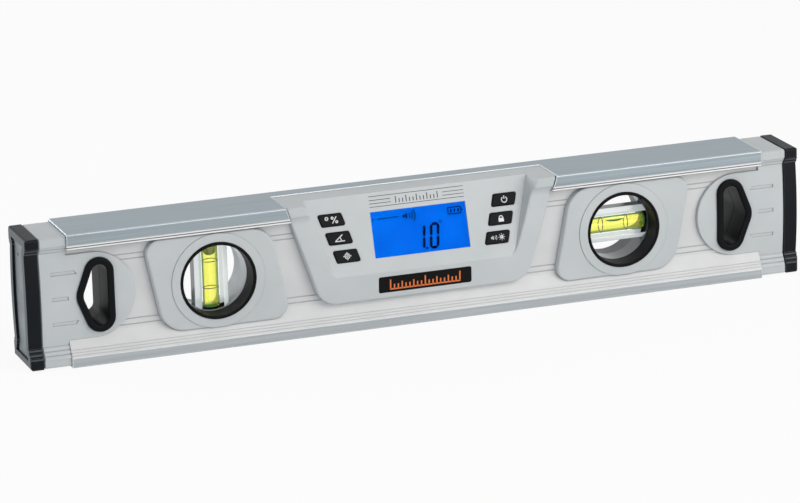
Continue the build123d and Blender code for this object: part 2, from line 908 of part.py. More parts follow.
with BuildPart() as housing_blank:
    with BuildSketch(Plane.YZ):
        with BuildLine():
            ThreePointArc(
                (-plate_edge, module_bottom),
                (-plate_front, panel_bottom),
                (-cheek_top, cheek_rise),
            )
            SagittaArc((-cheek_top, cheek_rise), (-module_face, cove_rise), -cove_sag)
            Polyline(
                (-module_face, cove_rise),
                (-module_face, module_top - module_top_round),
                (module_top_round - module_face, module_top),
                (roof_back, module_top),
                (roof_back, roof_under),
                (panel_depth_y(housing_wall, roof_under), roof_under),
                (-half_web, slab_foot),
                (-half_web, slope_top + seat_clearance),
                (-foot_back, module_bottom),
                (-plate_edge, module_bottom),
            )
        make_face()
    extrude(amount=module_bottom_width, both=True)
    with BuildSketch(Plane.XZ.offset(-rail_depth)):
        module_outline(0, module_bottom, module_top)
        fillet(vertices().group_by(Axis.Y)[0], radius=module_corner)
    extrude(amount=2 * rail_depth, mode=Mode.INTERSECT)
    plate_face = faces().filter_by(GeomType.CYLINDER).sort_by(Axis.Y)[0]
    plate_rim = plate_face.edges().filter_by(lambda edge: edge.center().Z < cheek_rise - seat_clearance)
    upper_edges = edges().filter_by(lambda edge: edge.center().Z > cheek_rise and edge.length < module_corner)
    upper_rim = upper_edges.filter_by(lambda edge: edge.center().Y < -half_web - housing_lip)
    fillet(plate_rim + upper_rim, radius=module_edge_fillet)

with BuildPart() as module_housing:
    add(housing_blank.part)
    with BuildSketch(Plane.XZ.offset(half_web)):
        module_outline(-housing_lip, module_bottom, flange_under)
        module_lip_floor = module_bottom + housing_lip + module_clearance
        with BuildSketch(mode=Mode.SUBTRACT):
            module_outline(housing_lip + module_clearance, module_lip_floor, flange_under)
            fillet(vertices().group_by(Axis.Y)[0], radius=module_corner - housing_lip)
    extrude(amount=-rail_depth, mode=Mode.SUBTRACT)
    with BuildSketch(panel_plane):
        flare = tan(radians(panel_slant))
        Polygon(
            (-panel_width / 2, 0),
            (panel_width / 2, 0),
            (panel_width / 2 + rail_height * flare, rail_height),
            (-panel_width / 2 - rail_height * flare, rail_height),
            align=None,
        )
        fillet(vertices().group_by(Axis.Y)[0], radius=panel_corner)
    extrude(amount=panel_pocket_depth, taper=-panel_flare, mode=Mode.SUBTRACT)
    curved = (GeomType.BSPLINE, GeomType.BEZIER)
    fillet(edges(Select.LAST).filter_by(lambda edge: edge.geom_type in curved), radius=pocket_edge_fillet)
    with BuildSketch(panel_plane.offset(-housing_wall)):
        with Locations((0, (board_bottom + board_top) / 2)):
            Rectangle(board_width + 2 * board_room, board_top - board_bottom + 2 * board_room)
    extrude(amount=-board_pocket, mode=Mode.SUBTRACT)
    with BuildSketch(Plane.XZ.offset(half_web)):
        with Locations(*boss_spots):
            Circle(boss_radius)
    extrude(amount=seat_clearance - half_web - web_inside)
    with BuildSketch(Plane.XZ.offset(-web_inside)):
        with Locations(*boss_spots):
            Circle(screw_radius + seat_clearance)
    extrude(amount=screw_bite + screw_radius, mode=Mode.SUBTRACT)
    with BuildSketch(panel_plane.offset(-housing_wall)):
        with Locations(*[(side * x, rise) for side in (-1, 1) for x, rise in board_post_spots]):
            Circle(board_post_radius)
    extrude(amount=housing_wall - board_face)
    with BuildSketch(panel_plane.offset(-board_face)):
        with Locations((0, window_rise)):
            Rectangle(window_width, window_height)
    extrude(amount=board_face + panel_pocket_depth, mode=Mode.SUBTRACT)
    with BuildSketch(panel_plane.offset(-board_face)):
        with Locations((0, window_rise)):
            Rectangle(window_width + 2 * lens_border, window_height + 2 * lens_border)
    extrude(amount=board_face - housing_wall + lens_thickness, mode=Mode.SUBTRACT)
    for side in (-1, 1):
        for row in range(button_rows):
            with BuildSketch(panel_plane.offset(-board_face)):
                with Locations(key_spot(side, row)):
                    key_outline(side, button_clearance)
            extrude(amount=board_face, mode=Mode.SUBTRACT)
    with BuildSketch(Plane.XZ.offset(plate_edge - plate_thickness / 2)):
        with Locations((0, plate_rise)):
            RectangleRounded(
                plate_width + 2 * plate_clearance,
                plate_height + 2 * plate_clearance,
                plate_corner + plate_clearance,
            )
    extrude(amount=rail_depth, mode=Mode.SUBTRACT)

write(module_housing, "module_housing")


# Name plate: a thin bare plate in the housing's recess, following its front
with BuildPart() as name_plate:
    add(housing_blank.part)
    with BuildSketch(Plane.XZ.offset(plate_edge - plate_thickness / 2)):
        with Locations((0, plate_rise)):
            RectangleRounded(plate_width, plate_height, plate_corner)
    extrude(amount=rail_depth, mode=Mode.INTERSECT)

write(name_plate, "name_plate")


# Display: clear window in the panel's rear rebate, the display glass and its light behind it
with BuildPart() as display_window:
    with BuildSketch(panel_plane.offset(-housing_wall)):
        with Locations((0, window_rise)):
            lens_grow = 2 * (lens_border - lens_clearance)
            Rectangle(window_width + lens_grow, window_height + lens_grow)
    extrude(amount=lens_thickness)

with BuildPart() as display_glass:
    with BuildSketch(panel_plane.offset(-housing_wall)):
        with Locations((0, window_rise)):
            Rectangle(window_width + 2 * display_border, window_height + 2 * display_border)
    extrude(amount=-display_thickness)

with BuildPart() as display_backlight:
    with BuildSketch(panel_plane.offset(-housing_wall - display_thickness)):
        with Locations((0, window_rise)):
            Rectangle(window_width + 2 * display_border, window_height + 2 * display_border)
    extrude(amount=-backlight_thickness)

write(display_window, "display_window")
write(display_glass, "display_glass")
write(display_backlight, "display_backlight")


# Circuit board behind the display, with the parts soldered to it
with BuildPart() as circuit_board:
    with BuildSketch(panel_plane.offset(-board_face)):
        with Locations((0, (board_bottom + board_top) / 2)):
            Rectangle(board_width, board_top - board_bottom)
    extrude(amount=-board_thickness)

board_back = panel_plane.offset(-board_face - board_thickness)
with BuildPart() as tilt_sensor:
    with BuildSketch(board_back):
        with Locations((0, sensor_rise)):
            Rectangle(sensor_size, sensor_size)
    extrude(amount=-sensor_thickness)

with BuildPart() as processor:
    with BuildSketch(board_back):
        with Locations((processor_offset, sensor_rise)):
            Rectangle(processor_size, processor_size)
    extrude(amount=-processor_thickness)

with BuildPart() as buzzer:
    with BuildSketch(board_back):
        with Locations((-buzzer_offset, buzzer_rise)):
            Circle(buzzer_radius)
    extrude(amount=-buzzer_thickness)

key_spots = [key_spot(side, row) for side in (-1, 1) for row in range(button_rows)]
with BuildPart() as tact_switches:
    with BuildSketch(panel_plane.offset(-board_face)):
        with Locations(*key_spots):
            Rectangle(switch_size, switch_size)
    extrude(amount=switch_base)
    with BuildSketch(panel_plane.offset(switch_base - board_face)):
        with Locations(*key_spots):
            Circle(switch_plunger_radius)
    extrude(amount=switch_plunger_height)

write(circuit_board, "circuit_board")
write(tilt_sensor, "tilt_sensor")
write(processor, "processor")
write(buzzer, "buzzer")
write(tact_switches, "tact_switches")


# Buttons: a leaning key through the panel, a flange behind it and a stem to its switch
def make_button(side, row):
    """One button, with its key standing a little proud of the panel."""
    flange_back = housing_wall + button_slack + button_flange
    stem_tip = board_face - switch_base - switch_plunger_height - button_travel - button_slack
    with BuildPart() as button:
        with BuildSketch(panel_plane.offset(-flange_back)):
            with Locations(key_spot(side, row)):
                key_outline(side, 0)
        extrude(amount=flange_back + button_proud)
        fillet(faces().sort_by(Axis(panel_plane.origin, panel_plane.z_dir))[-1].edges(), radius=button_round)
        with BuildSketch(panel_plane.offset(-flange_back)):
            with Locations(key_spot(side, row)):
                key_outline(side, button_flange)
        extrude(amount=button_flange)
        with BuildSketch(panel_plane.offset(-flange_back)):
            with Locations(key_spot(side, row)):
                Circle(button_stem_radius)
        extrude(amount=flange_back - stem_tip)
    return button


write(make_button(-1, 0), "button_unit")
write(make_button(-1, 1), "button_reference")
write(make_button(-1, 2), "button_calibrate")
write(make_button(1, 0), "button_power")
write(make_button(1, 1), "button_hold")
write(make_button(1, 2), "button_sound_light")


# Rear cover: a plate on the back of the web with the battery tray standing in the rail
door_half_width = room_half_width + door_margin
door_half_height = room_half_height + door_margin
ledge = rear_face - door_thickness
with BuildPart() as rear_cover:
    with BuildSketch(Plane.XZ.offset(-half_web)):
        module_outline(0, rear_bottom, flange_under - rear_top_gap)
        fillet(vertices(), radius=rear_corner)
    extrude(amount=-rear_thickness)
    fillet(faces().sort_by(Axis.Y)[-1].edges(), radius=rear_edge)
    with BuildSketch(Plane.XZ.offset(-half_web)):
        with Locations((0, battery_height)):
            Rectangle(2 * (room_half_width + tray_wall), 2 * (room_half_height + tray_wall))
    extrude(amount=half_web - room_floor + tray_wall)
    with BuildSketch(Plane.XZ.offset(-room_floor)):
        with Locations((0, battery_height)):
            Rectangle(2 * room_half_width, 2 * room_half_height)
    extrude(amount=-rail_depth, mode=Mode.SUBTRACT)
    with BuildSketch(Plane.XZ.offset(-ledge)):
        with Locations((0, battery_height)):
            Rectangle(2 * door_half_width, 2 * door_half_height)
    extrude(amount=-rail_depth, mode=Mode.SUBTRACT)
    with BuildSketch(Plane.XZ):
        with Locations(*boss_spots):
            Circle(screw_radius + screw_clearance)
    extrude(amount=-rail_depth, mode=Mode.SUBTRACT)
    with BuildSketch(Plane.XZ.offset(screw_head_height + screw_clearance - rear_face)):
        with Locations(*boss_spots):
            Circle(screw_head_radius + screw_clearance)
    extrude(amount=-rail_depth, mode=Mode.SUBTRACT)

write(rear_cover, "rear_cover")


# Battery cover: flush lid with a finger notch and two ribs that hold the cells down
with BuildPart() as battery_cover:
    with BuildSketch(Plane.XZ.offset(-ledge)):
        with Locations((0, battery_height)):
            Rectangle(2 * (door_half_width - door_clearance), 2 * (door_half_height - door_clearance))
    extrude(amount=-door_thickness)
    with BuildSketch(Plane.XZ.offset(door_grip_depth - rear_face)):
        with Locations((0, battery_height + door_half_height)):
            Circle(door_grip_radius)
    extrude(amount=-rail_depth, mode=Mode.SUBTRACT)
    with BuildSketch(Plane.XZ.offset(-ledge)):
        with Locations((-door_rib_offset, battery_height), (door_rib_offset, battery_height)):
            Rectangle(door_rib_width, 2 * (room_half_height - door_clearance))
    extrude(amount=ledge - battery_y - battery_radius - door_rib_gap)

write(battery_cover, "battery_cover")


# Two cells side by side, their plus ends to opposite sides
def make_battery(side, height):
    """One cell with its plus nub on the given side."""
    plus_wall = room_half_width - contact_thickness
    with BuildPart() as battery:
        with BuildSketch(Plane.YZ.offset(side * (plus_wall - battery_nub_length))):
            with Locations((battery_y, height)):
                Circle(battery_radius)
        extrude(amount=-side * battery_length)
        with BuildSketch(Plane.YZ.offset(side * (plus_wall - battery_nub_length))):
            with Locations((battery_y, height)):
                Circle(battery_nub_radius)
        extrude(amount=side * battery_nub_length)
    return battery


cell_heights = (battery_height + battery_pitch / 2, battery_height - battery_pitch / 2)
write(make_battery(1, cell_heights[0]), "battery_upper")
write(make_battery(-1, cell_heights[1]), "battery_lower")


# Contact strips at both ends of the tray; the left one joins the two cells
with BuildPart() as battery_contacts:
    with BuildSketch(Plane.YZ.offset(-room_half_width)):
        with Locations((battery_y, battery_height)):
            Rectangle(contact_height, battery_pitch + contact_height)
    extrude(amount=contact_thickness)
    with BuildSketch(Plane.YZ.offset(room_half_width)):
        with Locations(*[(battery_y, height) for height in cell_heights]):
            Rectangle(contact_height, contact_height)
    extrude(amount=-contact_thickness)

write(battery_contacts, "battery_contacts")

with BuildPart() as battery_springs:
    for side, height in zip((-1, 1), cell_heights):
        foot = side * (room_half_width - contact_thickness)
        crown = foot - side * (spring_gap - seat_clearance)
        inner_foot = spring_foot - spring_thickness
        with BuildSketch(Plane.XZ.offset(-battery_y)):
            with BuildLine():
                ThreePointArc((foot, height - spring_foot), (crown, height), (foot, height + spring_foot))
                Line((foot, height + spring_foot), (foot, height + inner_foot))
                inner_crown = crown + side * spring_thickness
                ThreePointArc((foot, height + inner_foot), (inner_crown, height), (foot, height - inner_foot))
                Line((foot, height - inner_foot), (foot, height - spring_foot))
            make_face()
        extrude(amount=spring_width / 2, both=True)

write(battery_springs, "battery_springs")


# Screws, driven from the rear, with a cross slot
def make_screws(spots, seat, length, radius, head_radius, head_height):
    """A set of equal screws whose heads rest at the given depth."""
    with BuildPart() as screws:
        with BuildSketch(Plane.XZ.offset(-seat)):
            with Locations(*spots):
                Circle(radius)
        extrude(amount=length)
        with BuildSketch(Plane.XZ.offset(-seat)):
            with Locations(*spots):
                Circle(head_radius)
        extrude(amount=-head_height)
        with BuildSketch(Plane.XZ.offset(slot_depth - seat - head_height)):
            with Locations(*spots):
                Rectangle(head_radius, slot_width)
                Rectangle(slot_width, head_radius)
        extrude(amount=-slot_depth, mode=Mode.SUBTRACT)
    return screws


module_seat = rear_face - screw_head_height - screw_clearance
module_reach = module_seat - web_inside + screw_bite
bezel_seat = half_web + bezel_screw_floor
bezel_reach = bezel_seat - web_inside + screw_bite
write(
    make_screws(boss_spots, module_seat, module_reach, screw_radius, screw_head_radius, screw_head_height),
    "module_screws",
)
write(
    make_screws(
        bezel_screw_spots,
        bezel_seat,
        bezel_reach,
        bezel_screw_radius,
        bezel_screw_head,
        bezel_screw_head_height,
    ),
    "bezel_screws",
)
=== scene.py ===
from math import atan2, cos, pi, radians, sin, tan

import bmesh
import bpy
from mathutils import Matrix, Vector


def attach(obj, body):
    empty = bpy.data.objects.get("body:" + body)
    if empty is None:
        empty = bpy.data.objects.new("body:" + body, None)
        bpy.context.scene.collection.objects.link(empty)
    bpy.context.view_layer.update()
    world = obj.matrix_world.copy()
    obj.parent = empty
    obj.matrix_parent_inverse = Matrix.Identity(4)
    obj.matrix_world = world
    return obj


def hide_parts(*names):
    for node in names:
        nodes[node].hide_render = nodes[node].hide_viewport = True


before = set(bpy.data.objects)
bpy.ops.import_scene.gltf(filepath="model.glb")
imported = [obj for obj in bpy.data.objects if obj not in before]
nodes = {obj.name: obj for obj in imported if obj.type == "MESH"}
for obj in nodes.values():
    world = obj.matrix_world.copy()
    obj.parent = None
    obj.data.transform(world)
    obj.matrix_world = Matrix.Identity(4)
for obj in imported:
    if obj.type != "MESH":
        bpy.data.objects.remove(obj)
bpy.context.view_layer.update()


# ---------------------------------------------------------------- rail
# The extruded aluminium box section that the level is built on. The web, beads and slopes carry
# a silver powder coat, with a painted highlight along its edges and bead crests and painted shade
# in its corners, grooves and bead valleys; the top flange and the base are milled flat afterwards,
# so they are bare metal with fine cutter streaks along the rail and a painted highlight on their edges.
rail_coat = (217, 218, 219)
rail_coat_dull = (209, 210, 212)
# Painted highlight for the coat's edges and bead crests, then painted shade for its corners, its grooves
# and its bead valleys.
coat_painted_highlight = (244, 245, 246)
coat_painted_shade = (158, 162, 166)
groove_painted_shade = (180, 182, 185)
valley_painted_shade = (112, 116, 120)
bare_metal = (172, 177, 180)
bare_metal_dull = (146, 152, 156)
bare_top = (157, 168, 174)
bare_top_dull = (130, 141, 148)
bare_edge_highlight = (246, 247, 248)
flange_line = 0.0605
base_line = 0.0047
groove_lines = (0.0167, 0.0195, 0.0492, 0.0517)
groove_half = 0.00045
bead_valleys = (0.0580, 0.05925)
bead_crests = (0.05863, 0.05988)
mask_blur = 0.00008


def screen(red, green, blue):
    """A colour as it reads on a screen, 0 to 255, in the linear values that a shader takes."""
    linear = []
    for part in (red / 255, green / 255, blue / 255):
        linear.append(part / 12.92 if part <= 0.04045 else ((part + 0.055) / 1.055) ** 2.4)
    return linear + [1.0]


def start_finish(name):
    """A new material: its tree, its shader, and the place on the piece that its patterns read."""
    finish = bpy.data.materials.new(name)
    finish.use_nodes = True
    tree = finish.node_tree
    shader = tree.nodes["Principled BSDF"]
    place = tree.nodes.new("ShaderNodeTexCoord").outputs["Object"]
    return finish, tree, shader, place


def grain(tree, place, size, stretch=(1, 1, 1), detail=3.0):
    """An uneven pattern with spots of a size in metres, drawn out along the axes."""
    mapping = tree.nodes.new("ShaderNodeMapping")
    mapping.inputs["Scale"].default_value = [1 / (size * longer) for longer in stretch]
    noise = tree.nodes.new("ShaderNodeTexNoise")
    noise.inputs["Scale"].default_value = 1.0
    noise.inputs["Detail"].default_value = detail
    tree.links.new(place, mapping.inputs["Vector"])
    tree.links.new(mapping.outputs["Vector"], noise.inputs["Vector"])
    return noise.outputs["Fac"]


def spread(tree, value, low, high, start=0.3, end=0.7):
    """The value from start to end, spread out from low to high."""
    ramp = tree.nodes.new("ShaderNodeMapRange")
    for name, amount in (("From Min", start), ("From Max", end), ("To Min", low), ("To Max", high)):
        ramp.inputs[name].default_value = amount
    tree.links.new(value, ramp.inputs["Value"])
    return ramp.outputs["Result"]


def combine(tree, how, first, second):
    """Two values put together by one sum."""
    node = tree.nodes.new("ShaderNodeMath")
    node.operation = how
    for socket, value in zip(node.inputs, (first, second)):
        if isinstance(value, (int, float)):
            socket.default_value = value
        else:
            tree.links.new(value, socket)
    return node.outputs["Value"]


def between(tree, share, first, second, kind="RGBA"):
    """A mix of two colours, or of two numbers, by a share that changes over the surface."""
    node = tree.nodes.new("ShaderNodeMix")
    node.data_type = kind
    a, b, result = {"RGBA": (6, 7, 2), "FLOAT": (2, 3, 0)}[kind]
    tree.links.new(share, node.inputs[0])
    for number, value in ((a, first), (b, second)):
        if isinstance(value, bpy.types.NodeSocket):
            tree.links.new(value, node.inputs[number])
        else:
            node.inputs[number].default_value = screen(*value) if kind == "RGBA" else value
    return node.outputs[result]


def soft_edges(tree, reach):
    """The normal with edges eased over a reach in metres, and how close a point is to an edge."""
    eased = tree.nodes.new("ShaderNodeBevel")
    eased.samples = 6
    eased.inputs["Radius"].default_value = reach
    flat = tree.nodes.new("ShaderNodeNewGeometry")
    turn = tree.nodes.new("ShaderNodeVectorMath")
    turn.operation = "DOT_PRODUCT"
    tree.links.new(eased.outputs["Normal"], turn.inputs[0])
    tree.links.new(flat.outputs["Normal"], turn.inputs[1])
    return eased.outputs["Normal"], spread(tree, turn.outputs["Value"], 1.0, 0.0, 0.80, 0.985)


def painted_corner_shade(tree, reach):
    """How far a point lies in a corner or a groove, looked for over a reach in metres: where shade is
    painted.
    """
    open_sky = tree.nodes.new("ShaderNodeAmbientOcclusion")
    open_sky.samples = 8
    open_sky.inputs["Distance"].default_value = reach
    return spread(tree, open_sky.outputs["AO"], 1.0, 0.0, 0.35, 0.85)


def relief(tree, shader, height, depth, under):
    """Fine relief of a depth in metres on top of the eased normal."""
    bump = tree.nodes.new("ShaderNodeBump")
    bump.inputs["Strength"].default_value = 1.0
    bump.inputs["Distance"].default_value = depth
    tree.links.new(height, bump.inputs["Height"])
    tree.links.new(under, bump.inputs["Normal"])
    tree.links.new(bump.outputs["Normal"], shader.inputs["Normal"])


def axis_of(tree, vector, letter):
    """One coordinate of a place or a normal."""
    node = tree.nodes.new("ShaderNodeSeparateXYZ")
    tree.links.new(vector, node.inputs["Vector"])
    return node.outputs[letter]


def away_from(tree, place, letter, middle):
    """How far a point is from a level, along one axis."""
    offset = combine(tree, "SUBTRACT", axis_of(tree, place, letter), middle)
    return combine(tree, "ABSOLUTE", offset, 0.0)


def dress(finish, *names):
    """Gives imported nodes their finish."""
    for name in names:
        for slot in nodes[name].material_slots:
            slot.material = finish


rail_finish, tree, shader, place = start_finish("rail_coat_and_bare_metal")
height = axis_of(tree, place, "Z")
milled_top = spread(tree, height, 0.0, 1.0, flange_line - mask_blur, flange_line + mask_blur)
milled_base = spread(tree, height, 1.0, 0.0, base_line - mask_blur, base_line + mask_blur)
milled = combine(tree, "MAXIMUM", milled_top, milled_base)
cloud = grain(tree, place, 0.020, detail=2.0)
peel = grain(tree, place, 0.0006, detail=2.0)
streak = grain(tree, place, 0.00022, stretch=(160, 1, 1), detail=4.0)
long_streak = grain(tree, place, 0.0011, stretch=(120, 1, 1), detail=2.0)
eased, edge = soft_edges(tree, 0.0009)
coat_colour = between(tree, spread(tree, cloud, 0.0, 1.0), rail_coat_dull, rail_coat)
# Painted highlight along the coat's edges.
coat_highlight_share = combine(tree, "MULTIPLY", edge, spread(tree, peel, 0.4, 0.9))
coat_colour = between(tree, coat_highlight_share, coat_colour, coat_painted_highlight)
# Painted shade in the corners and grooves of the coat.
coat_colour = between(tree, painted_corner_shade(tree, 0.0012), coat_colour, coat_painted_shade)
# Painted shade along the web grooves and bead valleys, painted highlight along the bead crests.
for lines, line_colour in (
    (groove_lines, groove_painted_shade),
    (bead_valleys, valley_painted_shade),
    (bead_crests, coat_painted_highlight),
):
    for line in lines:
        groove = spread(tree, away_from(tree, place, "Z", line), 1.0, 0.0, groove_half / 2, groove_half)
        coat_colour = between(tree, groove, coat_colour, line_colour)
short_share = combine(tree, "MULTIPLY", streak, 0.55)
long_share = combine(tree, "MULTIPLY", long_streak, 0.45)
streaks = combine(tree, "ADD", short_share, long_share)
metal_share = spread(tree, streaks, 0.0, 1.0)
metal_colour = between(tree, metal_share, bare_metal_dull, bare_metal)
top_colour = between(tree, metal_share, bare_top_dull, bare_top)
metal_colour = between(tree, milled_top, metal_colour, top_colour)
# Painted highlight along the edges of the bare metal.
metal_colour = between(tree, edge, metal_colour, bare_edge_highlight)
tree.links.new(between(tree, milled, coat_colour, metal_colour), shader.inputs["Base Color"])
tree.links.new(milled, shader.inputs["Metallic"])
coat_gloss = spread(tree, peel, 0.36, 0.46)
metal_gloss = spread(tree, streaks, 0.40, 0.54)
tree.links.new(between(tree, milled, coat_gloss, metal_gloss, "FLOAT"), shader.inputs["Roughness"])
relief(tree, shader, between(tree, milled, peel, streak, "FLOAT"), 0.000012, eased)
dress(rail_finish, "profile")


# ---------------------------------------------------------------- end blocks
# The moulded silver blocks that plug both ends of the rail and carry the finger grips. Glass
# filled nylon, painted satin silver, with a fine spark-eroded grain, edges lightened partly as slight
# wear and partly as a painted highlight, and painted shade in the corners.
silver_paint = (196, 201, 204)
silver_shade = (189, 195, 198)
silver_rubbed_and_lit = (220, 223, 225)
# Painted shade in the corners and grooves of moulded pieces: the darker tone times this share, found over
# this reach.
corner_shade_share = 0.62
corner_shade_reach = 0.0007


def moulded(name, light, dark, rubbed_and_lit, gloss, size, depth, sheen=0.5, reach=0.0004, cloud_size=0.025):
    """A moulded finish: uneven tone, fine grain, changing gloss, edges lightened as wear and as a painted
    highlight, and painted shade in the corners.
    """
    finish, tree, shader, place = start_finish(name)
    shader.inputs["Specular IOR Level"].default_value = sheen
    cloud = grain(tree, place, cloud_size, detail=2.0)
    fine = grain(tree, place, size)
    eased, edge = soft_edges(tree, reach)
    tone = between(tree, spread(tree, cloud, 0.0, 1.0), dark, light)
    # Edges lightened, partly as wear and partly as a painted highlight.
    wear_and_highlight = combine(tree, "MULTIPLY", edge, spread(tree, fine, 0.35, 1.0))
    # Painted shade in the corners.
    corner_shade = [part * corner_shade_share for part in dark]
    tone = between(tree, painted_corner_shade(tree, corner_shade_reach), between(tree, wear_and_highlight, tone, rubbed_and_lit), corner_shade)
    tree.links.new(tone, shader.inputs["Base Color"])
    tree.links.new(spread(tree, fine, gloss - 0.05, gloss + 0.07), shader.inputs["Roughness"])
    relief(tree, shader, fine, depth, eased)
    return finish


silver_finish = moulded(
    "satin_silver_moulding", silver_paint, silver_shade, silver_rubbed_and_lit, 0.44, 0.00022, 0.000008
)
dress(silver_finish, "end_block_left", "end_block_right")


# ---------------------------------------------------------------- bumper caps
# Soft black rubber caps over the ends of the blocks, which take the knocks. They are matt, with
# a painted highlight along the crests of their ridges and along their edges, and a painted grey
# sheen on the end face, paler on the sunk end panel than on the frame round it.
rubber_black = (12, 18, 23)
rubber_shade = (8, 13, 18)
rubber_painted_highlight = (104, 110, 115)
ridge_crests = (0.0060, 0.0080, 0.0100, 0.0577, 0.0594)
ridge_crest_half = 0.0006
# Painted grey sheen on the end face: paler on the sunk panel, darker on the frame.
end_painted_sheen = (140, 146, 150)
end_painted_sheen_dark = (117, 123, 128)
frame_painted_sheen = (84, 90, 93)
end_face_start = 0.1972
end_frame_start = 0.1991

cap_finish, tree, shader, place = start_finish("black_rubber_painted_sheen")
along = combine(tree, "ABSOLUTE", axis_of(tree, place, "X"), 0.0)
flat = tree.nodes.new("ShaderNodeNewGeometry")
facing = combine(tree, "ABSOLUTE", axis_of(tree, flat.outputs["Normal"], "X"), 0.0)
end_face = combine(
    tree,
    "MULTIPLY",
    spread(tree, along, 0.0, 1.0, end_face_start, end_face_start + 0.0002),
    spread(tree, facing, 0.0, 1.0, 0.7, 0.9),
)
shader.inputs["Specular IOR Level"].default_value = 0.14
cloud = grain(tree, place, 0.012, detail=3.0)
fine = grain(tree, place, 0.00030)
eased, rubbed_and_lit = soft_edges(tree, 0.0005)
# Painted highlight along the ridge crests, added to the one along the edges.
for crest in ridge_crests:
    crest_share = spread(tree, away_from(tree, place, "Z", crest), 1.0, 0.0, 0.0, ridge_crest_half)
    rubbed_and_lit = combine(tree, "MAXIMUM", rubbed_and_lit, crest_share)
rubber = between(tree, spread(tree, cloud, 0.0, 1.0), rubber_shade, rubber_black)
wear_and_highlight = combine(tree, "MULTIPLY", rubbed_and_lit, spread(tree, fine, 0.3, 1.0))
rubber = between(tree, wear_and_highlight, rubber, rubber_painted_highlight)
# Painted sheen on the end face.
end_sheen = between(tree, spread(tree, cloud, 0.0, 1.0), end_painted_sheen_dark, end_painted_sheen)
end_frame = spread(tree, along, 0.0, 1.0, end_frame_start, end_frame_start + 0.0002)
end_sheen = between(tree, end_frame, end_sheen, frame_painted_sheen)
tree.links.new(between(tree, end_face, rubber, end_sheen), shader.inputs["Base Color"])
tree.links.new(spread(tree, fine, 0.38, 0.54), shader.inputs["Roughness"])
relief(tree, shader, fine, 0.000015, eased)
dress(cap_finish, "end_cap_left", "end_cap_right")


# ---------------------------------------------------------------- grip liners
# Black liners of a tough plastic that line the finger openings from the front and the back,
# pressed into the blocks with a rounded lip.
liner_black = (12, 15, 18)
liner_shade = (8, 11, 14)
liner_rubbed_and_lit = (48, 51, 54)

liner_finish = moulded(
    "black_grip_plastic", liner_black, liner_shade, liner_rubbed_and_lit, 0.44, 0.00025, 0.000008, 0.09
)
dress(
    liner_finish,
    "grip_liner_front_left",
    "grip_liner_front_right",
    "grip_liner_rear_left",
    "grip_liner_rear_right",
)


# ---------------------------------------------------------------- vial bezels
# Silver mouldings that frame the vials on both sides of the web. Each is screwed through the
# web to its partner, and has a raised round dial about the vial.
dress(silver_finish, "plumb_bezel_front", "plumb_bezel_rear", "level_bezel_front", "level_bezel_rear")


# ---------------------------------------------------------------- vial rings
# Rings that clamp the clear vial from both sides: a satin black one in front, so that no light is
# thrown into the vial, and a smoky grey one behind: one smoky plastic, painted light behind the
# plumb vial and painted shade behind the level vial.
ring_black = (14, 15, 17)
ring_shade = (9, 10, 12)
ring_rubbed_and_lit = (46, 49, 52)
smoke_lit = (176, 181, 185)
smoke_grey = (164, 170, 174)
smoke_shaded = (93, 99, 103)
smoke_shaded_tone = (84, 90, 94)

ring_finish = moulded(
    "satin_black_ring", ring_black, ring_shade, ring_rubbed_and_lit, 0.48, 0.00035, 0.000004, 0.08
)
dress(ring_finish, "plumb_ring_front", "level_ring_front")
lit_smoke_finish = moulded(
    "smoky_ring_painted_light", smoke_lit, smoke_grey, smoke_lit, 0.40, 0.00035, 0.000004, 0.3
)
dress(lit_smoke_finish, "plumb_ring_rear")
shaded_smoke_finish = moulded(
    "smoky_ring_painted_shade", smoke_shaded, smoke_shaded_tone, smoke_grey, 0.40, 0.00035, 0.000004, 0.3
)
dress(shaded_smoke_finish, "level_ring_rear")


# ---------------------------------------------------------------- vials
# Machined clear acrylic blocks: a ring with a flat-sided bar across it, bored out for the liquid.
# One stands upright for plumb, one lies flat for level. The face over the bore is polished, the
# slanted facets beside it are frosted and carry a painted glow, and the side walls and the rim are
# milky; the rim is painted light in the plumb vial and painted shade in the level one.
acrylic_tint = (250, 252, 252)
acrylic_frost = (240, 243, 245)
facet_painted_glow = (200, 206, 210)
acrylic_side = (164, 170, 175)
# The milky rim, painted light in the plumb vial and painted shade in the level one.
plumb_rim_painted_light = (172, 178, 182)
level_rim_painted_shade = (98, 104, 109)
acrylic_bend = 1.49
facet_clear = 0.3
milky_clear = 0.06
facet_glow_strength = 0.42
facet_start = 0.0055
side_start = 0.0083
rim_start = 0.0171
vial_edge_blur = 0.0002
plumb_across = -0.1051
level_across = 0.1051
vial_level = 0.0340


def clear_finish(name, bend):
    """The start of a see-through finish, with an uneven pattern for its tint and polish."""
    finish, tree, shader, place = start_finish(name)
    shader.inputs["Transmission Weight"].default_value = 1.0
    shader.inputs["IOR"].default_value = bend
    return finish, tree, shader, place, grain(tree, place, 0.006, detail=2.0)


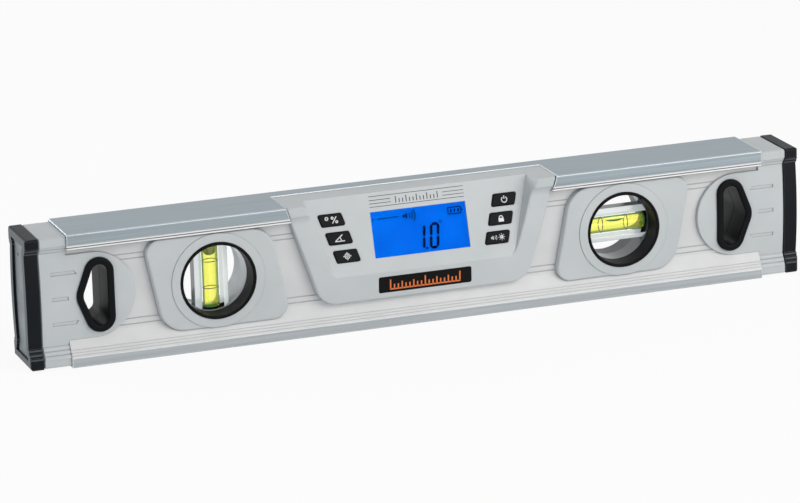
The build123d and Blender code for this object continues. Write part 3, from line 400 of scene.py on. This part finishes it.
def vial_finish(name, letter, middle, ring_middle, rim_colour):
    """The acrylic of one vial, whose bar is measured across one axis from its middle."""
    finish, tree, shader, place, cloud = clear_finish(name, acrylic_bend)
    across = away_from(tree, place, letter, middle)
    round_ring = tree.nodes.new("ShaderNodeMapping")
    round_ring.inputs["Scale"].default_value = (1, 0, 1)
    round_ring.inputs["Location"].default_value = (-ring_middle, 0, -vial_level)
    radius = tree.nodes.new("ShaderNodeVectorMath")
    radius.operation = "LENGTH"
    tree.links.new(place, round_ring.inputs["Vector"])
    tree.links.new(round_ring.outputs["Vector"], radius.inputs[0])
    facet = spread(tree, across, 0.0, 1.0, facet_start, facet_start + vial_edge_blur)
    side = spread(tree, across, 0.0, 1.0, side_start, side_start + vial_edge_blur)
    rim = spread(tree, radius.outputs["Value"], 0.0, 1.0, rim_start, rim_start + vial_edge_blur)
    tint = between(tree, facet, acrylic_tint, acrylic_frost)
    tint = between(tree, rim, between(tree, side, tint, acrylic_side), rim_colour)
    tree.links.new(tint, shader.inputs["Base Color"])
    milky = combine(tree, "MAXIMUM", side, rim)
    face_clear = spread(tree, facet, 1.0, facet_clear, 0.0, 1.0)
    clear = between(tree, milky, face_clear, milky_clear, "FLOAT")
    tree.links.new(clear, shader.inputs["Transmission Weight"])
    # Painted glow on the frosted facets.
    shader.inputs["Emission Color"].default_value = screen(*facet_painted_glow)
    glowing_facets = combine(tree, "MULTIPLY", facet, combine(tree, "SUBTRACT", 1.0, milky))
    tree.links.new(spread(tree, glowing_facets, 0.0, facet_glow_strength, 0.0, 1.0), shader.inputs["Emission Strength"])
    polish = spread(tree, cloud, 0.004, 0.020)
    milled = spread(tree, grain(tree, place, 0.0006, stretch=(1, 8, 1)), 0.14, 0.24)
    tree.links.new(between(tree, facet, polish, milled, "FLOAT"), shader.inputs["Roughness"])
    return finish


dress(vial_finish("plumb_acrylic", "X", plumb_across, plumb_across, plumb_rim_painted_light), "plumb_vial")
dress(vial_finish("level_acrylic", "Z", vial_level, level_across, level_rim_painted_shade), "level_vial")


# ---------------------------------------------------------------- vial liquid
# The yellow-green spirit that fills the bore of each vial. It has a painted glow, and a painted
# dark green shade at the sides and the ends of the bore.
milli = 0.001
vial_reach = 105.1
vial_rise = 34.0
bore_radius = 4.02
bore_length = 32.1
bore_end_round = 0.5
spirit_light = (252, 247, 112)
spirit_side_shade = (46, 128, 46)
spirit_painted_glow = (206, 198, 10)
spirit_side_painted_glow = (8, 60, 10)
spirit_side_start = 0.0032
spirit_side_end = 0.0039
spirit_end_start = 0.0138
spirit_end_end = 0.0156
spirit_bend = 1.36
spirit_glow_strength = 0.12


def keep(shape, name, finish, body, place=None):
    """Makes a finished shape, drawn in millimetres, a piece that rides on a body."""
    bmesh.ops.transform(shape, matrix=Matrix.Scale(milli, 4) @ (place or Matrix()), verts=shape.verts)
    bmesh.ops.recalc_face_normals(shape, faces=shape.faces)
    mesh = bpy.data.meshes.new(name)
    shape.to_mesh(mesh)
    shape.free()
    mesh.materials.append(finish)
    piece = bpy.data.objects.new(name, mesh)
    bpy.context.scene.collection.objects.link(piece)
    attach(piece, body)
    return piece


def smooth(piece):
    """Shades a round piece smoothly."""
    piece.data.shade_smooth()
    return piece


def spirit_finish(name, across, along):
    """Yellow in front of the bore, turning to a painted dark green shade where its wall curves away and
    at its ends, with a painted glow.
    """
    finish, tree, shader, place, cloud = clear_finish(name, spirit_bend)
    # Painted shade: dark green at the sides and the ends of the bore.
    side = spread(tree, away_from(tree, place, *across), 0.0, 1.0, spirit_side_start, spirit_side_end)
    end = spread(tree, away_from(tree, place, *along), 0.0, 1.0, spirit_end_start, spirit_end_end)
    side = combine(tree, "MAXIMUM", side, end)
    tree.links.new(between(tree, side, spirit_light, spirit_side_shade), shader.inputs["Base Color"])
    # Painted glow, green at the sides and ends.
    tree.links.new(between(tree, side, spirit_painted_glow, spirit_side_painted_glow), shader.inputs["Emission Color"])
    shader.inputs["Emission Strength"].default_value = spirit_glow_strength
    tree.links.new(spread(tree, cloud, 0.0, 0.03), shader.inputs["Roughness"])
    return finish


plumb_stand = Matrix.Translation((-vial_reach, 0, vial_rise))
level_stand = Matrix.Translation((vial_reach, 0, vial_rise)) @ Matrix.Rotation(pi / 2, 4, "Y")
plumb_spirit = spirit_finish("plumb_yellow_spirit", ("X", plumb_across), ("Z", vial_level))
level_spirit = spirit_finish("level_yellow_spirit", ("Z", vial_level), ("X", level_across))
for name, stand, finish in (("plumb", plumb_stand, plumb_spirit), ("level", level_stand, level_spirit)):
    column = bmesh.new()
    bmesh.ops.create_cone(
        column, cap_ends=True, segments=64, radius1=bore_radius, radius2=bore_radius, depth=bore_length
    )
    rims = [edge for edge in column.edges if abs(edge.verts[0].co.z - edge.verts[1].co.z) < 1e-6]
    bmesh.ops.bevel(
        column, geom=rims, offset=bore_end_round, affect="EDGES", segments=4, profile=0.5, material=-1
    )
    spirit = keep(column, f"{name}_spirit", finish, "level_body", stand)
    smooth(spirit)
    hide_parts(f"{name}_liquid")


# ---------------------------------------------------------------- bubbles
# The air left in each bore. The plumb bubble is a round-bottomed plug under the top end; the level
# bubble is a long flat drop that lies along the top of the bore.
# The bubbles' colours are painted: a painted light at the top, a painted dark green shade under the
# meniscus, and a painted glow.
air_light = (250, 251, 232)
air_grey = (112, 128, 120)
air_rim_painted_shade = (0, 92, 46)
air_bend = 1.05
meniscus_blur = 0.0002
plumb_meniscus = 0.0455
plumb_air_glow = 0.10
level_meniscus = 0.0365
level_air_glow = 0.70


def air_finish(name, light, glow_strength, meniscus):
    """Air in the spirit: a painted light at the top, a painted dark green shade below the height of its
    meniscus, and a painted glow of its colour.
    """
    finish, tree, shader, place, cloud = clear_finish(name, air_bend)
    height = axis_of(tree, place, "Z")
    under = spread(tree, height, 1.0, 0.0, meniscus - meniscus_blur, meniscus + meniscus_blur)
    colour = between(tree, under, light, air_rim_painted_shade)
    tree.links.new(colour, shader.inputs["Base Color"])
    tree.links.new(colour, shader.inputs["Emission Color"])
    shader.inputs["Emission Strength"].default_value = glow_strength
    tree.links.new(spread(tree, under, 0.5, 0.0, 0.0, 1.0), shader.inputs["Transmission Weight"])
    tree.links.new(spread(tree, cloud, 0.0, 0.03), shader.inputs["Roughness"])
    return finish


plumb_bubble_low = 43.2
plumb_bubble_outline = (
    (0.0, 0.0),
    (1.2, 0.15),
    (2.3, 0.62),
    (3.1, 1.35),
    (3.55, 2.3),
    (3.6, 3.6),
    (3.45, 4.9),
    (2.9, 5.8),
    (1.6, 6.3),
    (0.0, 6.4),
)
plug = bmesh.new()
points = [plug.verts.new((across, 0, rise)) for across, rise in plumb_bubble_outline]
edges = [plug.edges.new(pair) for pair in zip(points, points[1:])]
bmesh.ops.spin(
    plug, geom=points + edges, axis=(0, 0, 1), cent=(0, 0, 0), angle=2 * pi, steps=48, use_merge=True
)
bmesh.ops.remove_doubles(plug, verts=plug.verts, dist=1e-5)
plumb_bubble = keep(
    plug,
    "plumb_bubble_plug",
    air_finish("plumb_bubble_air", air_grey, plumb_air_glow, plumb_meniscus),
    "plumb_bubble",
    Matrix.Translation((-vial_reach, 0, plumb_bubble_low)),
)
smooth(plumb_bubble)
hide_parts("plumb_bubble")

level_bubble_middle = 105.85
level_bubble_rise = 3.0
level_bubble_half = (5.2, 2.3)
level_bubble_top = 0.55
level_bubble_belly = 2.0
drop = bmesh.new()
bmesh.ops.create_uvsphere(drop, u_segments=48, v_segments=32, radius=1.0)
for point in drop.verts:
    tall = level_bubble_top if point.co.z > 0 else level_bubble_belly
    point.co = Vector((*level_bubble_half, tall)) * point.co
level_bubble = keep(
    drop,
    "level_bubble_drop",
    air_finish("level_bubble_air", air_light, level_air_glow, level_meniscus),
    "level_bubble",
    Matrix.Translation((level_bubble_middle, 0, vial_rise + level_bubble_rise)),
)
smooth(level_bubble)
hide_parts("level_bubble")


# ---------------------------------------------------------------- vial marks
# Two dark lines round each bore, between which the bubble stands when it is true. They are cut
# into the wall of the bore and filled with ink.
ink_dark = (24, 26, 20)
ink_shade = (36, 40, 26)
ink_rubbed_and_lit = (60, 64, 40)

ink_finish = moulded("vial_mark_ink", ink_dark, ink_shade, ink_rubbed_and_lit, 0.5, 0.0002, 0.000002)
dress(ink_finish, "plumb_marks", "level_marks")


# ---------------------------------------------------------------- display module housing
# The large silver moulding in the middle, with a sloping panel for the display and the buttons.
# It is hung over the top flange and screwed through the web to the rear cover.
panel_start = (0, -16.2, 28.0)
panel_tilt = radians(16.5)
panel = Matrix.Translation(panel_start) @ Matrix.Rotation(pi / 2 - panel_tilt, 4, "X")
print_thickness = 0.04
rule_grey = (86, 90, 94)
rule_grey_dark = (74, 78, 82)
rule_width = 0.3
rule_half_length = 24.5
rule_rises = (32.05, 33.70, 35.35, 37.25)
broken_rules = rule_rises[1:3]
rule_gap_half = 13.4
degree_tick_count = 13
degree_tick_step = 1.8
degree_tick_long = 3.2
degree_tick_short = 2.0
degree_tick_width = 0.5

dress(silver_finish, "module_housing")


def stroke(shape, start, end, width):
    """One straight printed stroke between two points of a flat print; gives its corners."""
    start, end = Vector((*start, 0)), Vector((*end, 0))
    run = end - start
    turn = Matrix.Rotation(atan2(run.y, run.x), 4, "Z")
    size = Matrix.Diagonal((run.length, width, print_thickness, 1))
    middle = Matrix.Translation((start + end) / 2)
    return bmesh.ops.create_cube(shape, size=1.0, matrix=middle @ turn @ size)["verts"]


rule_finish = moulded("grey_print", rule_grey, rule_grey_dark, rule_grey, 0.5, 0.0002, 0.000002)
rules = bmesh.new()
for rise in rule_rises:
    if rise in broken_rules:
        stroke(rules, (-rule_half_length, rise), (-rule_gap_half, rise), rule_width)
        stroke(rules, (rule_gap_half, rise), (rule_half_length, rise), rule_width)
    else:
        stroke(rules, (-rule_half_length, rise), (rule_half_length, rise), rule_width)
tick_foot = (broken_rules[0] + broken_rules[1]) / 2 - degree_tick_long / 2
for number in range(degree_tick_count):
    across = (number - (degree_tick_count - 1) / 2) * degree_tick_step
    tall = degree_tick_long if number % 3 == 0 else degree_tick_short
    stroke(rules, (across, tick_foot), (across, tick_foot + tall), degree_tick_width)
keep(rules, "panel_rules", rule_finish, "level_body", panel)


# ---------------------------------------------------------------- display
# A lit liquid-crystal cell behind a clear window: a blue field from the backlight, with the
# figures and small signs in dark segments on the cell's inner face.
window_tint = (250, 252, 254)
window_shade = (244, 248, 252)
window_bend = 1.05
cell_half = (26.5, 13.1)
cell_front = -2.36
cell_back = -4.2
cell_rise = 18.4
cell_edge_round = 0.25
cell_blue = (0, 40, 96)
cell_blue_deep = (0, 32, 84)
cell_glow = (0, 110, 238)
cell_glow_deep = (0, 98, 228)
cell_shine = 0.90
segment_dark = (2, 16, 70)
segment_shade = (3, 20, 80)
segment_depth = -2.29
segment_width = 1.4
segment_point = 0.55
digit_lean = tan(radians(7.5))
digit_low = 9.1
digit_tall = 11.4
speaker_rise = 25.9

window_finish, tree, shader, place, cloud = clear_finish("clear_window", window_bend)
window_tone = between(tree, spread(tree, cloud, 0.0, 1.0), window_shade, window_tint)
tree.links.new(window_tone, shader.inputs["Base Color"])
tree.links.new(spread(tree, cloud, 0.02, 0.05), shader.inputs["Roughness"])
dress(window_finish, "display_window")

cell_finish, tree, shader, place = start_finish("lit_blue_cell")
cloud = grain(tree, place, 0.018, detail=1.0)
dots = grain(tree, place, 0.00016, detail=1.0)
cell_share = spread(tree, cloud, 0.0, 1.0)
tree.links.new(between(tree, cell_share, cell_blue_deep, cell_blue), shader.inputs["Base Color"])
tree.links.new(between(tree, cell_share, cell_glow_deep, cell_glow), shader.inputs["Emission Color"])
shader.inputs["Emission Strength"].default_value = cell_shine
shader.inputs["Specular IOR Level"].default_value = 0.0
tree.links.new(spread(tree, dots, 0.25, 0.35), shader.inputs["Roughness"])

cell = bmesh.new()
bmesh.ops.create_cube(cell, size=1.0)
cell_size = (2 * cell_half[0], 2 * cell_half[1], cell_front - cell_back)
bmesh.ops.scale(cell, vec=cell_size, verts=cell.verts)
bmesh.ops.bevel(
    cell, geom=cell.edges[:], offset=cell_edge_round, affect="EDGES", segments=2, profile=0.5, material=-1
)
cell_middle = Matrix.Translation((0, cell_rise, (cell_front + cell_back) / 2))
cell_piece = keep(cell, "display_cell", cell_finish, "level_body", panel @ cell_middle)
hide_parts("display_glass")


def bend_stroke(shape, middle, radius, width, start, sweep, steps=24):
    """One curved printed stroke about a middle point; angles in degrees."""
    full = sweep >= 360
    ends = [(radius + x, z) for x, z in (
        (-width / 2, -print_thickness / 2),
        (width / 2, -print_thickness / 2),
        (width / 2, print_thickness / 2),
        (-width / 2, print_thickness / 2),
    )]
    turn = Matrix.Translation((*middle, 0)) @ Matrix.Rotation(radians(start), 4, "Z")
    corners = [shape.verts.new(turn @ Vector((x, 0, z))) for x, z in ends]
    loop = [shape.edges.new((corners[number], corners[number - 1])) for number in range(len(corners))]
    made = bmesh.ops.spin(
        shape,
        geom=corners + loop,
        cent=(*middle, 0),
        axis=(0, 0, 1),
        angle=radians(sweep),
        steps=steps,
        use_merge=full,
    )
    if not full:
        last = [part for part in made["geom_last"] if isinstance(part, bmesh.types.BMEdge)]
        bmesh.ops.contextual_create(shape, geom=loop)
        bmesh.ops.contextual_create(shape, geom=last)


figures = bmesh.new()


def upright(edge):
    """True for an edge through the thickness of a print."""
    return abs(edge.verts[0].co.z - edge.verts[1].co.z) > print_thickness / 2


def digit(left, low, width, tall, lit):
    """One seven-segment figure; lit names the segments: top, middle, low and the four uprights."""
    half = tall / 2
    gap = segment_width * 0.14
    spots = {
        "top": ((gap, tall), (width - gap, tall)),
        "middle": ((gap, half), (width - gap, half)),
        "low": ((gap, 0), (width - gap, 0)),
        "upper_left": ((0, half + gap), (0, tall - gap)),
        "upper_right": ((width, half + gap), (width, tall - gap)),
        "lower_left": ((0, gap), (0, half - gap)),
        "lower_right": ((width, gap), (width, half - gap)),
    }
    for segment in lit:
        start, end = (Vector((left + x + y * digit_lean, low + y)) for x, y in spots[segment])
        made = stroke(figures, start, end, segment_width)
        touched = {edge for point in made for edge in point.link_edges}
        corners = [edge for edge in touched if upright(edge)]
        bmesh.ops.bevel(
            figures,
            geom=corners,
            offset=segment_point,
            affect="EDGES",
            segments=1,
            profile=0.5,
            material=-1,
        )


digit(-1.75, digit_low, 3.2, digit_tall, ("upper_right", "lower_right"))
all_round = ("top", "low", "upper_left", "upper_right", "lower_left", "lower_right")
digit(5.1, digit_low, 3.6, digit_tall, all_round)
stroke(figures, (2.55, digit_low), (3.55, digit_low), 1.0)
bend_stroke(figures, (11.5, 21.3), 0.55, 0.3, 0, 360)
stroke(figures, (-20.7, 25.9), (-9.8, 26.1), 0.45)
stroke(figures, (-22.9, 25.5), (-22.9, 26.6), 0.5)
stroke(figures, (-7.6, speaker_rise), (-6.4, speaker_rise), 1.3)
stroke(figures, (-6.1, speaker_rise), (-5.2, speaker_rise), 2.6)
for radius in (2.0, 3.4, 4.8):
    bend_stroke(figures, (-5.9, speaker_rise), radius, 0.55, -35, 70, 10)
battery_low, battery_high, battery_left, battery_right = 24.2, 27.4, 16.0, 22.7
stroke(figures, (battery_left, battery_low), (battery_right, battery_low), 0.5)
stroke(figures, (battery_left, battery_high), (battery_right, battery_high), 0.5)
stroke(figures, (battery_left, battery_low), (battery_left, battery_high), 0.5)
stroke(figures, (battery_right, battery_low), (battery_right, battery_high), 0.5)
stroke(figures, (battery_right + 0.4, 25.8), (battery_right + 0.8, 25.8), 1.4)
for across in (17.4, 19.3, 21.2):
    stroke(figures, (across, 25.0), (across + 0.25, 26.6), 0.85)

segment_finish = moulded(
    "dark_segments", segment_dark, segment_shade, segment_dark, 0.4, 0.0003, 0.000001, 0.0
)
keep(
    figures,
    "display_figures",
    segment_finish,
    "level_body",
    panel @ Matrix.Translation((0, 0, segment_depth)),
)

diffuser_white = (232, 236, 240)
diffuser_shade = (224, 229, 234)
diffuser_finish = moulded(
    "white_diffuser", diffuser_white, diffuser_shade, diffuser_white, 0.5, 0.0004, 0.000004
)
dress(diffuser_finish, "display_backlight")


# ---------------------------------------------------------------- buttons
# Six black rubber keys in two leaning columns beside the display, each over its own switch. The
# signs on them are printed in white and are plain ones: unit, angle, zero, power, hold, sound.
key_black = (20, 22, 24)
key_shade = (15, 17, 19)
key_rubbed_and_lit = (48, 51, 54)
sign_white = (232, 233, 234)
sign_shade = (222, 223, 225)
key_column = 44.7
key_step = 2.8
key_top_row = 28.2
key_pitch = 9.1
key_proud = 0.8
sign_width = 0.52

key_finish = moulded("black_key_rubber", key_black, key_shade, key_rubbed_and_lit, 0.46, 0.00025, 0.000010, 0.09)
sign_finish = moulded("white_sign_print", sign_white, sign_shade, sign_white, 0.5, 0.0002, 0.000002)


def sign_place(side, row):
    """The middle of a key's face."""
    across = side * (key_column - row * key_step)
    return panel @ Matrix.Translation((across, key_top_row - row * key_pitch, key_proud))


def unit_sign(shape):
    """A degree ring beside a per cent sign."""
    bend_stroke(shape, (-2.6, 0.9), 0.7, sign_width, 0, 360)
    stroke(shape, (0.2, -1.6), (2.4, 1.6), sign_width)
    bend_stroke(shape, (0.3, 1.0), 0.5, sign_width, 0, 360)
    bend_stroke(shape, (2.4, -1.0), 0.5, sign_width, 0, 360)


def reference_sign(shape):
    """Two legs of an angle with an arc between them."""
    stroke(shape, (-2.4, -1.5), (2.6, -1.5), sign_width)
    stroke(shape, (-2.4, -1.5), (1.6, 1.6), sign_width)
    bend_stroke(shape, (-2.4, -1.5), 3.2, sign_width, 0, 38, 10)


def calibrate_sign(shape):
    """A target: a ring with a cross through it."""
    bend_stroke(shape, (0, 0), 1.2, sign_width, 0, 360)
    stroke(shape, (-2.1, 0), (2.1, 0), sign_width)
    stroke(shape, (0, -1.9), (0, 1.9), sign_width)


def power_sign(shape):
    """An open ring with a bar at the top."""
    bend_stroke(shape, (0, -0.1), 1.4, sign_width, 125, 290)
    stroke(shape, (0, 0.2), (0, 1.8), sign_width)


def hold_sign(shape):
    """A closed padlock."""
    stroke(shape, (-1.4, -0.75), (1.4, -0.75), 1.9)
    bend_stroke(shape, (0, 0.35), 0.9, sign_width, 0, 180, 12)
    for across in (-0.9, 0.9):
        stroke(shape, (across, 0.1), (across, 0.4), sign_width)


def sound_light_sign(shape):
    """A loudspeaker with waves, and a shining lamp."""
    stroke(shape, (-3.6, 0), (-2.9, 0), 0.9)
    stroke(shape, (-2.8, 0), (-2.3, 0), 1.9)
    for radius in (1.2, 2.0):
        bend_stroke(shape, (-2.6, 0), radius, 0.3, -35, 70, 8)
    bend_stroke(shape, (2.0, 0), 0.55, 0.7, 0, 360)
    for number in range(8):
        turn = pi / 4 * number
        ray = Vector((cos(turn), sin(turn)))
        stroke(shape, Vector((2.0, 0)) + ray * 1.15, Vector((2.0, 0)) + ray * 1.75, 0.3)


key_signs = (
    ("unit", -1, 0, unit_sign),
    ("reference", -1, 1, reference_sign),
    ("calibrate", -1, 2, calibrate_sign),
    ("power", 1, 0, power_sign),
    ("hold", 1, 1, hold_sign),
    ("sound_light", 1, 2, sound_light_sign),
)
for name, side, row, draw in key_signs:
    dress(key_finish, f"button_{name}")
    sign = bmesh.new()
    draw(sign)
    keep(sign, f"sign_{name}", sign_finish, f"button_{name}", sign_place(side, row))


# ---------------------------------------------------------------- name plate
# A black lacquered plate let into the housing under the display. It is left without a name, and
# carries a plain orange scale instead.
lacquer_black = (15, 14, 14)
lacquer_shade = (10, 10, 10)
lacquer_rubbed_and_lit = (40, 40, 40)
scale_orange = (236, 126, 58)
scale_orange_dark = (228, 116, 50)
plate_front = -15.989
plate_rise = 21.5
plate_lean = radians(2.92)
plate_turn = Matrix.Rotation(pi / 2 + plate_lean, 4, "X")
plate_place = Matrix.Translation((0, plate_front, plate_rise)) @ plate_turn
scale_steps = 9
scale_step = 2.0
scale_foot = -2.5
scale_long = 4.9
scale_middle = 3.6
scale_short = 2.5
scale_width = 0.75

plate_finish = moulded(
    "black_plate_lacquer", lacquer_black, lacquer_shade, lacquer_rubbed_and_lit, 0.30, 0.0006, 0.000003, 0.10
)
dress(plate_finish, "name_plate")
scale_finish = moulded(
    "orange_scale_print", scale_orange, scale_orange_dark, scale_orange, 0.4, 0.0003, 0.000002
)
scale = bmesh.new()
scale_half = scale_steps * scale_step
for number in range(-scale_steps, scale_steps + 1):
    tall = scale_long if number % scale_steps == 0 else scale_middle if number % 3 == 0 else scale_short
    across = number * scale_step
    stroke(scale, (across, scale_foot), (across, scale_foot + tall), scale_width)
scale_reach = scale_half + scale_width / 2
stroke(scale, (-scale_reach, scale_foot), (scale_reach, scale_foot), scale_width)
keep(scale, "plate_scale", scale_finish, "level_body", plate_place)


# ---------------------------------------------------------------- electronics
# The green circuit board behind the panel, with the tilt sensor, the processor, the buzzer and
# the six small switches soldered to it.
board_green = (30, 92, 54)
board_green_dark = (22, 76, 44)
board_edge = (140, 150, 90)
case_black = (36, 37, 40)
case_shade = (28, 29, 32)
case_edge = (70, 71, 74)

board_finish = moulded(
    "green_board_laminate", board_green, board_green_dark, board_edge, 0.35, 0.0008, 0.000008
)
dress(board_finish, "circuit_board")
chip_finish = moulded("black_moulded_case", case_black, case_shade, case_edge, 0.5, 0.0002, 0.000006)
dress(chip_finish, "tilt_sensor", "processor", "buzzer", "tact_switches")


# ---------------------------------------------------------------- rear cover and battery cover
# The flat silver moulding on the back, screwed through the web to the housing, with the battery
# cover snapped into its opening.
dress(silver_finish, "rear_cover", "battery_cover")


# ---------------------------------------------------------------- cells and contacts
# Two plain grey cells in the tray under the cover, between plated strips at one end and bent
# leaf springs at the other.
wrap_grey = (150, 154, 160)
wrap_grey_dark = (132, 136, 142)
wrap_edge = (196, 199, 203)
nickel = (204, 202, 196)
nickel_dull = (180, 178, 172)
nickel_edge = (230, 229, 226)


def plated(name, light, dark, rubbed_and_lit, gloss, stretch):
    """A drawn and plated metal: streaks in tone and gloss along the drawing, and edges brightened as wear
    and as a painted highlight.
    """
    finish, tree, shader, place = start_finish(name)
    streak = grain(tree, place, 0.0002, stretch=stretch, detail=3.0)
    eased, edge = soft_edges(tree, 0.0003)
    tone = between(tree, spread(tree, streak, 0.0, 1.0), dark, light)
    shader.inputs["Metallic"].default_value = 1.0
    tree.links.new(between(tree, edge, tone, rubbed_and_lit), shader.inputs["Base Color"])
    tree.links.new(spread(tree, streak, gloss - 0.06, gloss + 0.06), shader.inputs["Roughness"])
    relief(tree, shader, streak, 0.000006, eased)
    return finish


wrap_finish = moulded("grey_cell_wrap", wrap_grey, wrap_grey_dark, wrap_edge, 0.32, 0.0006, 0.000003)
dress(wrap_finish, "battery_upper", "battery_lower")
contact_finish = plated("nickel_contacts", nickel, nickel_dull, nickel_edge, 0.28, (1, 1, 30))
dress(contact_finish, "battery_contacts", "battery_springs")


# ---------------------------------------------------------------- screws
# Zinc-plated pan-head screws, driven from the rear: four hold the module together, four clamp the
# vial bezels.
zinc = (176, 178, 182)
zinc_dull = (150, 152, 157)
zinc_edge = (214, 216, 219)

screw_finish = plated("zinc_screws", zinc, zinc_dull, zinc_edge, 0.30, (1, 20, 1))
dress(screw_finish, "module_screws", "bezel_screws")


# ---------------------------------------------------------------- floor, light and camera
# A plain pale floor under the level, a large soft key lamp from the right and above, weaker fill
# from the left and overhead, one more for the back, and the camera at the photograph's angle.
floor_reach = 6.0
floor_pale = (244, 245, 246)
shadow_share = 0.09
world_light = 0.35
lamp_aim = (0, 0, 0.03)


def seen_rays(tree):
    """One for rays that show the background: straight to the camera, in a mirror, or through glass."""
    path = tree.nodes.new("ShaderNodeLightPath")
    shown = combine(tree, "MAXIMUM", path.outputs["Is Camera Ray"], path.outputs["Is Glossy Ray"])
    return combine(tree, "MAXIMUM", shown, path.outputs["Is Transmission Ray"])


sheet = bmesh.new()
bmesh.ops.create_grid(sheet, x_segments=2, y_segments=2, size=floor_reach)
mesh = bpy.data.meshes.new("floor")
sheet.to_mesh(mesh)
sheet.free()
floor = bpy.data.objects.new("floor", mesh)
bpy.context.scene.collection.objects.link(floor)
floor_finish = bpy.data.materials.new("pale_floor")
floor_finish.use_nodes = True
tree = floor_finish.node_tree
paper = tree.nodes["Principled BSDF"]
paper.inputs["Base Color"].default_value = screen(*floor_pale)
paper.inputs["Roughness"].default_value = 0.9
glow = tree.nodes.new("ShaderNodeEmission")
glow.inputs["Strength"].default_value = 1.0
white_share = combine(tree, "MULTIPLY", seen_rays(tree), 1 - shadow_share)
mix = tree.nodes.new("ShaderNodeMixShader")
tree.links.new(white_share, mix.inputs["Fac"])
tree.links.new(paper.outputs["BSDF"], mix.inputs[1])
tree.links.new(glow.outputs["Emission"], mix.inputs[2])
tree.links.new(mix.outputs["Shader"], tree.nodes["Material Output"].inputs["Surface"])
mesh.materials.append(floor_finish)

scene = bpy.context.scene
scene.view_settings.view_transform = "Standard"
world = bpy.data.worlds.new("studio")
scene.world = world
world.use_nodes = True
tree = world.node_tree
backdrop = tree.nodes["Background"]
backdrop.inputs["Color"].default_value = (1, 1, 1, 1)
tree.links.new(spread(tree, seen_rays(tree), world_light, 1.0, 0.0, 1.0), backdrop.inputs["Strength"])


def lamp(name, place, size, power, colour):
    """A square soft lamp that points at the middle of the level."""
    light = bpy.data.lights.new(name, "AREA")
    light.size = size
    light.energy = power
    light.color = colour
    holder = bpy.data.objects.new(name, light)
    holder.location = place
    holder.rotation_euler = (Vector(lamp_aim) - Vector(place)).to_track_quat("-Z", "Y").to_euler()
    scene.collection.objects.link(holder)


lamp("key_lamp", (0.65, -1.05, 0.48), 1.4, 12.6, (1.0, 0.98, 0.95))
lamp("fill_lamp", (-1.40, -0.75, 0.45), 0.9, 2.6, (0.97, 0.985, 1.0))
lamp("top_lamp", (0.0, -0.50, 1.60), 1.2, 2, (1.0, 1.0, 1.0))
lamp("back_lamp", (-1.25, 1.00, 0.45), 0.9, 11, (1.0, 1.0, 1.0))

camera_data = bpy.data.cameras.new("camera")
camera_data.sensor_fit = "HORIZONTAL"
camera_data.sensor_width = 36.0
camera_data.lens = 198.042
camera_data.clip_start = 0.01
camera = bpy.data.objects.new("camera", camera_data)
camera.location = (-0.69565054, -1.95766321, 0.61845018)
camera.rotation_euler = [radians(turn) for turn in (74.22920636, 1.63537782, -19.84126888)]
scene.collection.objects.link(camera)
scene.camera = camera
